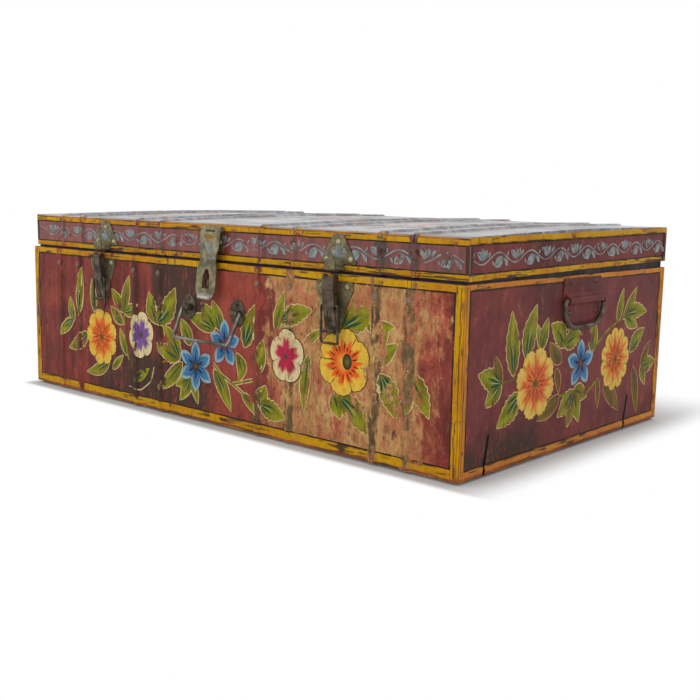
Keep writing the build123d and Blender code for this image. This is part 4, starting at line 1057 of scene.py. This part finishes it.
front_strokes += (
    stem((-69, 53), (-58, 57), (-44, 60), tone=(OLIVE, AMBER))
    + stem((-126, 20), (-106, 18), (-88, 30), (-83, 46), tone=(IVORY, CREAM), width=1.3)
    + leaf((-118, 26), (-90, 44), 12, (OLIVE, LIME), edge=INK)
    + marigold((-174.5, 68), 27.5, 31, 9, 1)
    + pansy((-104, 77.5), 21, 25, srgb(126, 84, 150), 6, 0.3)
    + star((-16, 55.5), 27, 26, 6, math.pi / 6)
    + star((27, 83), 22, 24, 5, math.pi / 2)
    + pansy((111.5, 81.5), 21.5, 25, srgb(188, 40, 74), 5, math.pi / 2)
)


def great_bloom(centre, rx, rz):
    """The largest head: six broad yellow petals, an orange burst and an olive eye."""
    centre, size = np.array(centre, float), (rx, rz)

    def tint(r, angle):
        """Orange within a burst of two cosines of the angle, yellow outside, paler at the middle."""
        burst = 0.63 + 0.11 * np.cos(11 * angle) + 0.06 * np.sin(23 * angle)
        tone = mix((burst - r) * 8 + 0.4, srgb(232, 188, 66), srgb(236, 96, 30))
        return mix((0.30 - r) * 4 + 0.2, tone, srgb(240, 170, 60))

    def eye_tint(r, angle):
        """Olive at the middle, going to ink at the rim."""
        return mix(1 - r, INK, srgb(112, 112, 56))

    outline = petals(6, 0.20, 0.012, 0.4)
    strokes = [disc(centre, size, outline, tint), dark_edge(centre, rx, rz, 0.7, outline)]
    strokes += rays(centre, size, 18, 0.34, 0.62, srgb(92, 26, 18), 1.2, 6, 0.2, 9)
    strokes += rays(centre, size, 6, 0.55, 0.92, srgb(70, 34, 22), 0.8, 6, 0.95, 4)
    strokes.append(disc(centre + (4.0, 1.0), (5.2, 7.0), petals(3, 0, 0), eye_tint, 7))
    return strokes


front_strokes += great_bloom((181, 84.5), 29.5, 29.5)
lay("flowers_front", front_strokes, front_wall, "trunk")

# %% [markdown]
# ## The ends' bouquet
# Both ends carry the same bunch, as the painter would repeat a learned pattern, mirrored so
# that it faces the front alike. It could be drawn twice, but one list of strokes laid on both
# walls keeps them alike. A last 1 in a row marks a leaf that has faded.

# %% End bouquet
FADED = (srgb(96, 66, 30), srgb(124, 110, 34))
end_leaves = [
    (-102, 80, -108, 135, 21, 0, 2), (-82, 91, -69, 138, 22, 3, 2),
    (-58, 98, -49, 125, 13, 1, 1), (-58, 98, -66, 120, 9, 0, 1),
    (-18, 97, -43, 119, 21, -3, 1), (-18, 97, 12, 105, 20, 3, 1),
    (-15, 112, -17, 133, 10, 0, 0), (-23, 83, -44, 103, 14, 2, 1, 1),
    (33, 87, 36, 116, 16, 0, 1), (82, 112, 91, 143, 11, 0, 1),
    (94, 113, 119, 143, 12, -1, 1), (96, 116, 144, 117, 17, 3, 2),
    (97, 115, 125, 103, 14, 0, 1), (112, 79, 141, 100, 17, 2, 2),
    (139, 59, 157, 86, 11, 1, 0, 1), (139, 60, 170, 64, 18, 0, 1),
    (139, 62, 150, 41, 11, 0, 1), (121, 63, 135, 13, 13, 1, 1, 1),
    (60, 51, 94, 22, 16, 2, 0, 1), (46, 60, 50, 30, 8, 1.5, 0, 1),
    (2, 54, 27, 45, 16, 1, 1), (2, 54, -25, 33, 19, 1, 1),
    (2, 54, -6, 21, 20, 0, 2), (2, 54, 14, 23, 16, 0, 1),
    (-24, 53, -60, 35, 14, 2, 0, 1), (-91, 64, -124, 39, 22, 2, 3),
    (-120, 76, -154, 87, 20, 0, 3), (-120, 76, -143, 59, 16, 0, 2),
    (-120, 76, -132, 101, 10, 0, 0, 1), (-31, 78, -25, 55, 9, 1, 0, 1),
]
end_strokes = []
for base_x, base_z, tip_x, tip_z, width, bow, veins, *faded in end_leaves:
    tones, edge = (FADED, ROSE) if faded else ((OLIVE, LIME), CREAM)
    ends = (base_x, base_z), (tip_x, tip_z)
    end_strokes += leaf(*ends, width, tones, bow, edge, veins, worn=0.45)
end_strokes += (
    stem((36, 89), (60, 104), (94, 115))
    + stem((-25, 52), (2, 53), (27, 48), (48, 60))
    + stem((-121, 76), (-95, 78), tone=FADED)
    + marigold((-66, 69), 31.5, 31.5, 8, 6, srgb(230, 190, 88), srgb(220, 98, 48))
    + marigold((81, 75), 29, 31, 11, 8, srgb(230, 192, 84), srgb(216, 100, 46))
    + star((12, 78), 25, 23, 5, math.pi / 2)
)
for side, label in ((1, "right"), (-1, "left")):
    lay(f"flowers_{label}", end_strokes, end_wall(side), "trunk", side < 0, in_slit)

# %% [markdown]
# ## Paint on the fittings
# The scroll was painted straight over the hasp and the latches' keepers, so a few leaves and a
# length of stem lie on their faces. The lid's own film can't reach there, since the hasp moves
# by itself and the keepers stand out, so each face gets a small film of its own.

# %% Painted fittings
PLATE = 1.2 * MM
HASP_X = 8.0
TAN = (srgb(132, 96, 48), srgb(164, 124, 56))
HASP_AXIS = np.array([0.0, FRONT_Y + 0.9 * MM, RIM_Z + 32.0 * MM])
HASP_FACE = 2.6 * MM
HASP_LEAN = math.radians(7.1)
HASP_OUT = np.array([0.0, -math.cos(HASP_LEAN), math.sin(HASP_LEAN)])
HASP_UP = np.array([0.0, math.sin(HASP_LEAN), math.cos(HASP_LEAN)])


def hasp_face(x, up, lift):
    """x along the front, up measured from the hasp's axis along its leaning face."""
    place = HASP_AXIS + (HASP_FACE + lift) * HASP_OUT + up[..., None] * HASP_UP
    place[..., 0] = x
    return place


def keeper_face(x, h, lift):
    """The lid's front, one plate further out."""
    return lid_skin(x, h, lift + PLATE)


def sprig(x, leaves, stalk, width):
    """Powder-blue leaves about x, each a row of base, tip, width and bow, and a bit of stem."""
    strokes = []
    for base_x, base_up, tip_x, tip_up, wide, bow in leaves:
        ends = (x + base_x, base_up), (x + tip_x, tip_up)
        strokes.append(blade(*ends, wide, POWDER, 3, bow, worn=0.2))
    points = [(x + along, up) for along, up in stalk]
    return strokes + stem(*points, tone=POWDER, width=width, layer=2)


leaves = ((3, -25, -7, -12, 4.8, -0.6), (3, -25, -1, -13, 3.2, 0), (5, -24, 8, -12, 2.8, 0))
stalk = ((-12, -15), (-7, -25), (2, -30), (11, -26))
tan_line = blade((HASP_X - 8, -7.5), (HASP_X + 8, -8.5), 4.5, TAN, 1, worn=0.3)
lay("scroll_on_hasp", [tan_line] + sprig(HASP_X, leaves, stalk, 0.9), hasp_face, "hasp")
leaves = ((6, 14, -8, 17, 7.5, 0.8), (3, 17, -3, 22, 3.4, 0), (5, 15, 8, 20, 2.6, 0))
stalk = ((-15, 12), (-8, 21), (2, 23.5), (11, 14))
for middle, label in ((-169.0, "left"), (169.0, "right")):
    lay(f"scroll_on_keeper_{label}", sprig(middle, leaves, stalk, 0.8), keeper_face, "lid")

# %% [markdown]
# ## The top's flowers
# Little is left of the top's bouquets: rubbed heads and leaves in pale tones between the ribs.
# They could be stains in the sheet's material; heads and leaves like the front's, in a more
# worn material, keep the same hand.

# %% Top flowers
BUNCHES = (
    ((-165, 130), 0.2), ((-150, 290), 1.1), ((0, 215), 0.6), ((165, 140), 1.7), ((170, 295), 0.9)
)
top_strokes = []
for middle, turn in BUNCHES:
    centre = np.array(middle, float)
    for angle in (0.0, 0.7, 2.1, 2.9, 4.2, 5.1):
        ahead = np.array([math.cos(angle + turn), math.sin(angle + turn)])
        top_strokes += leaf(centre + 27 * ahead, centre + 62 * ahead, 17, veins=1)
    top_strokes += marigold(centre, 30, 30, 8, int(turn * 10))
lay("flowers_top", top_strokes, lid_skin, "lid", material=top_paint)

# %% [markdown]
# ## Inside the lid
# The lid is one sheet with two different faces, so the red-brown coat inside it is a film of
# its own, laid under the sheet and following its ribs and crown. A material could also tell the
# two faces apart by their direction, but a film exports as it looks.

# %% Inner coat
inner_x, inner_s = np.meshgrid(
    np.linspace(13 - wide_mm, wide_mm - 13, 590),
    np.linspace(LID_MM + 5, LID_MM + deep_mm - 6, 50),
    indexing="ij",
)
under = lid_skin(inner_x * MM, inner_s * MM, -SHEET - 0.05 * MM)
index = np.arange(inner_x.size).reshape(inner_x.shape)
corners = [index[:-1, :-1], index[:-1, 1:], index[1:, 1:], index[1:, :-1]]
faces = np.stack(corners, axis=-1).reshape(-1, 4)
inner_coat = make_mesh("lid_inner_coat", under.reshape(-1, 3), faces)
inner_coat.data.materials.append(tin)
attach(inner_coat, "lid")
print("inner coat", len(inner_coat.data.polygons), "faces")

# %% [markdown]
# ## Floor and background
# A pale floor runs into a white background, which mirrors in the enamel too. A plane that only
# catches shadows could be used; here the floor glows a little more with each step away from the
# trunk, so that no horizon shows. Close to the trunk it is left grey, in a band widest at the
# right and behind: painted shadow round its foot, under the soft shadow that the lamps cast.

# %% Floor and background
FLOOR_HALF = 12.0
FLOOR_Z = -0.0002
# For each axis: half of the trunk, and how fast the floor brightens on its low and high side;
# a slower pace leaves a wider band of painted shadow.
PAINTED_SHADOW_PACES = ((0, 0.305, 14.0, 3.5), (1, 0.178, 14.0, 1.0))
floor_material, floor_shader, t = new_material("pale_floor")
floor_shader.inputs["Roughness"].default_value = 0.9
glow = t.add("Emission", {"Color": (1, 1, 1, 1), "Strength": 1.0})
seen = t.add("LightPath", out=0)
# Seen by the camera the floor is darker, 0.62 against 0.9, deepening painted and cast shadow.
t.link(t.fade(seen, 0.0, 1.0, 0.9, 0.62), floor_shader.inputs["Base Color"])
spread = t.split(t.add("TexCoord", out=3))
reach = []
for axis, half, low_pace, high_pace in PAINTED_SHADOW_PACES:
    above = t.most(spread[axis] - half, 0.0)
    below = t.most(spread[axis] * -1.0 - half, 0.0)
    reach.append(t.math("POWER", below * low_pace + above * high_pace, 2.0))
away = t.math("SQRT", reach[0] + reach[1])
# Painted shadow: near the trunk the glow is nearly gone and the grey floor shows.
share = seen * t.fade(away, 0.0, 0.17, 0.05, 1.0)
both = t.add("MixShader", {0: share, 1: Wire(t, floor_shader.outputs[0]), 2: glow})
t.link(both, t.nodes["Material Output"].inputs[0])
corners = np.array([[-1, -1, 0], [1, -1, 0], [1, 1, 0], [-1, 1, 0]]) * FLOOR_HALF
floor = make_mesh("floor", corners + (0, 0, FLOOR_Z), np.array([[0, 1, 2, 3]]))
floor.data.materials.append(floor_material)

world = bpy.data.worlds.new("white_room")
bpy.context.scene.world = world
world.use_nodes = True
t = Tree(world.node_tree)
backdrop = t.nodes["Background"]
rays_seen = ("Is Camera Ray", "Is Transmission Ray", "Is Glossy Ray")
direct = t.most(*[t.add("LightPath", out=ray) for ray in rays_seen])
t.link(t.fade(direct, 0.0, 1.0, 0.62, 1.0), backdrop.inputs["Strength"])
backdrop.inputs["Color"].default_value = (1, 1, 1, 1)
print("floor", 2 * FLOOR_HALF, "m wide")

# %% [markdown]
# ## Lamps
# A trunk set out to be looked at stands in soft light from all sides. A picture of a room could
# light it; three broad area lamps, above, in front and at the right, are easier to set and keep
# the shadows faint.


# %% Lamps
def lamp(name, place, target, size, power):
    """A rectangular area lamp at a place, turned to a target."""
    light = bpy.data.lights.new(name, "AREA")
    light.shape = "RECTANGLE"
    light.size, light.size_y = size
    light.energy = power
    thing = bpy.data.objects.new(name, light)
    thing.location = place
    thing.rotation_euler = (Vector(target) - Vector(place)).to_track_quat("-Z", "Y").to_euler()
    bpy.context.collection.objects.link(thing)


lamp("overhead", (0.1, 0.3, 2.2), (0, 0, 0.1), (2.4, 2.4), 12)
lamp("front_left", (-0.9, -2.2, 1.5), (0, 0, 0.1), (1.6, 1.2), 16)
lamp("right", (2.3, -0.2, 1.0), (0.2, 0, 0.1), (1.0, 1.0), 3)
print("lamps:", len(bpy.data.lights))

# %% [markdown]
# ## Camera
# The camera stands off the front right corner, a little above the lid. Its turn is built from
# three angles, to the side, down and round its own axis, and its lens from the ratio of its
# length to the width of the picture.

# %% Camera
CAMERA_PLACE = (0.7525, FRONT_Y + 0.178 - 0.8205, 0.2289)
SENSOR = 36.0
LENS_RATIO = 1009.6 / 700
AZIMUTH, ELEVATION, ROLL = (math.radians(v) for v in (-41.32, -8.82, 1.23))
level = math.cos(ELEVATION)
ahead = Vector((math.sin(AZIMUTH) * level, math.cos(AZIMUTH) * level, math.sin(ELEVATION)))
right = Vector((math.cos(AZIMUTH), -math.sin(AZIMUTH), 0))
up = right.cross(ahead)
right, up = (
    math.cos(ROLL) * right + math.sin(ROLL) * up,
    math.cos(ROLL) * up - math.sin(ROLL) * right,
)
lens = bpy.data.cameras.new("camera")
lens.sensor_width = SENSOR
lens.lens = SENSOR * LENS_RATIO
lens.clip_start = 0.01
camera = bpy.data.objects.new("camera", lens)
turn = Matrix((right, up, -ahead)).transposed()
camera.matrix_world = Matrix.Translation(CAMERA_PLACE) @ turn.to_4x4()
bpy.context.collection.objects.link(camera)
scene = bpy.context.scene
scene.camera = camera
scene.view_settings.view_transform = "Standard"
print("camera at", [round(v, 3) for v in camera.location])
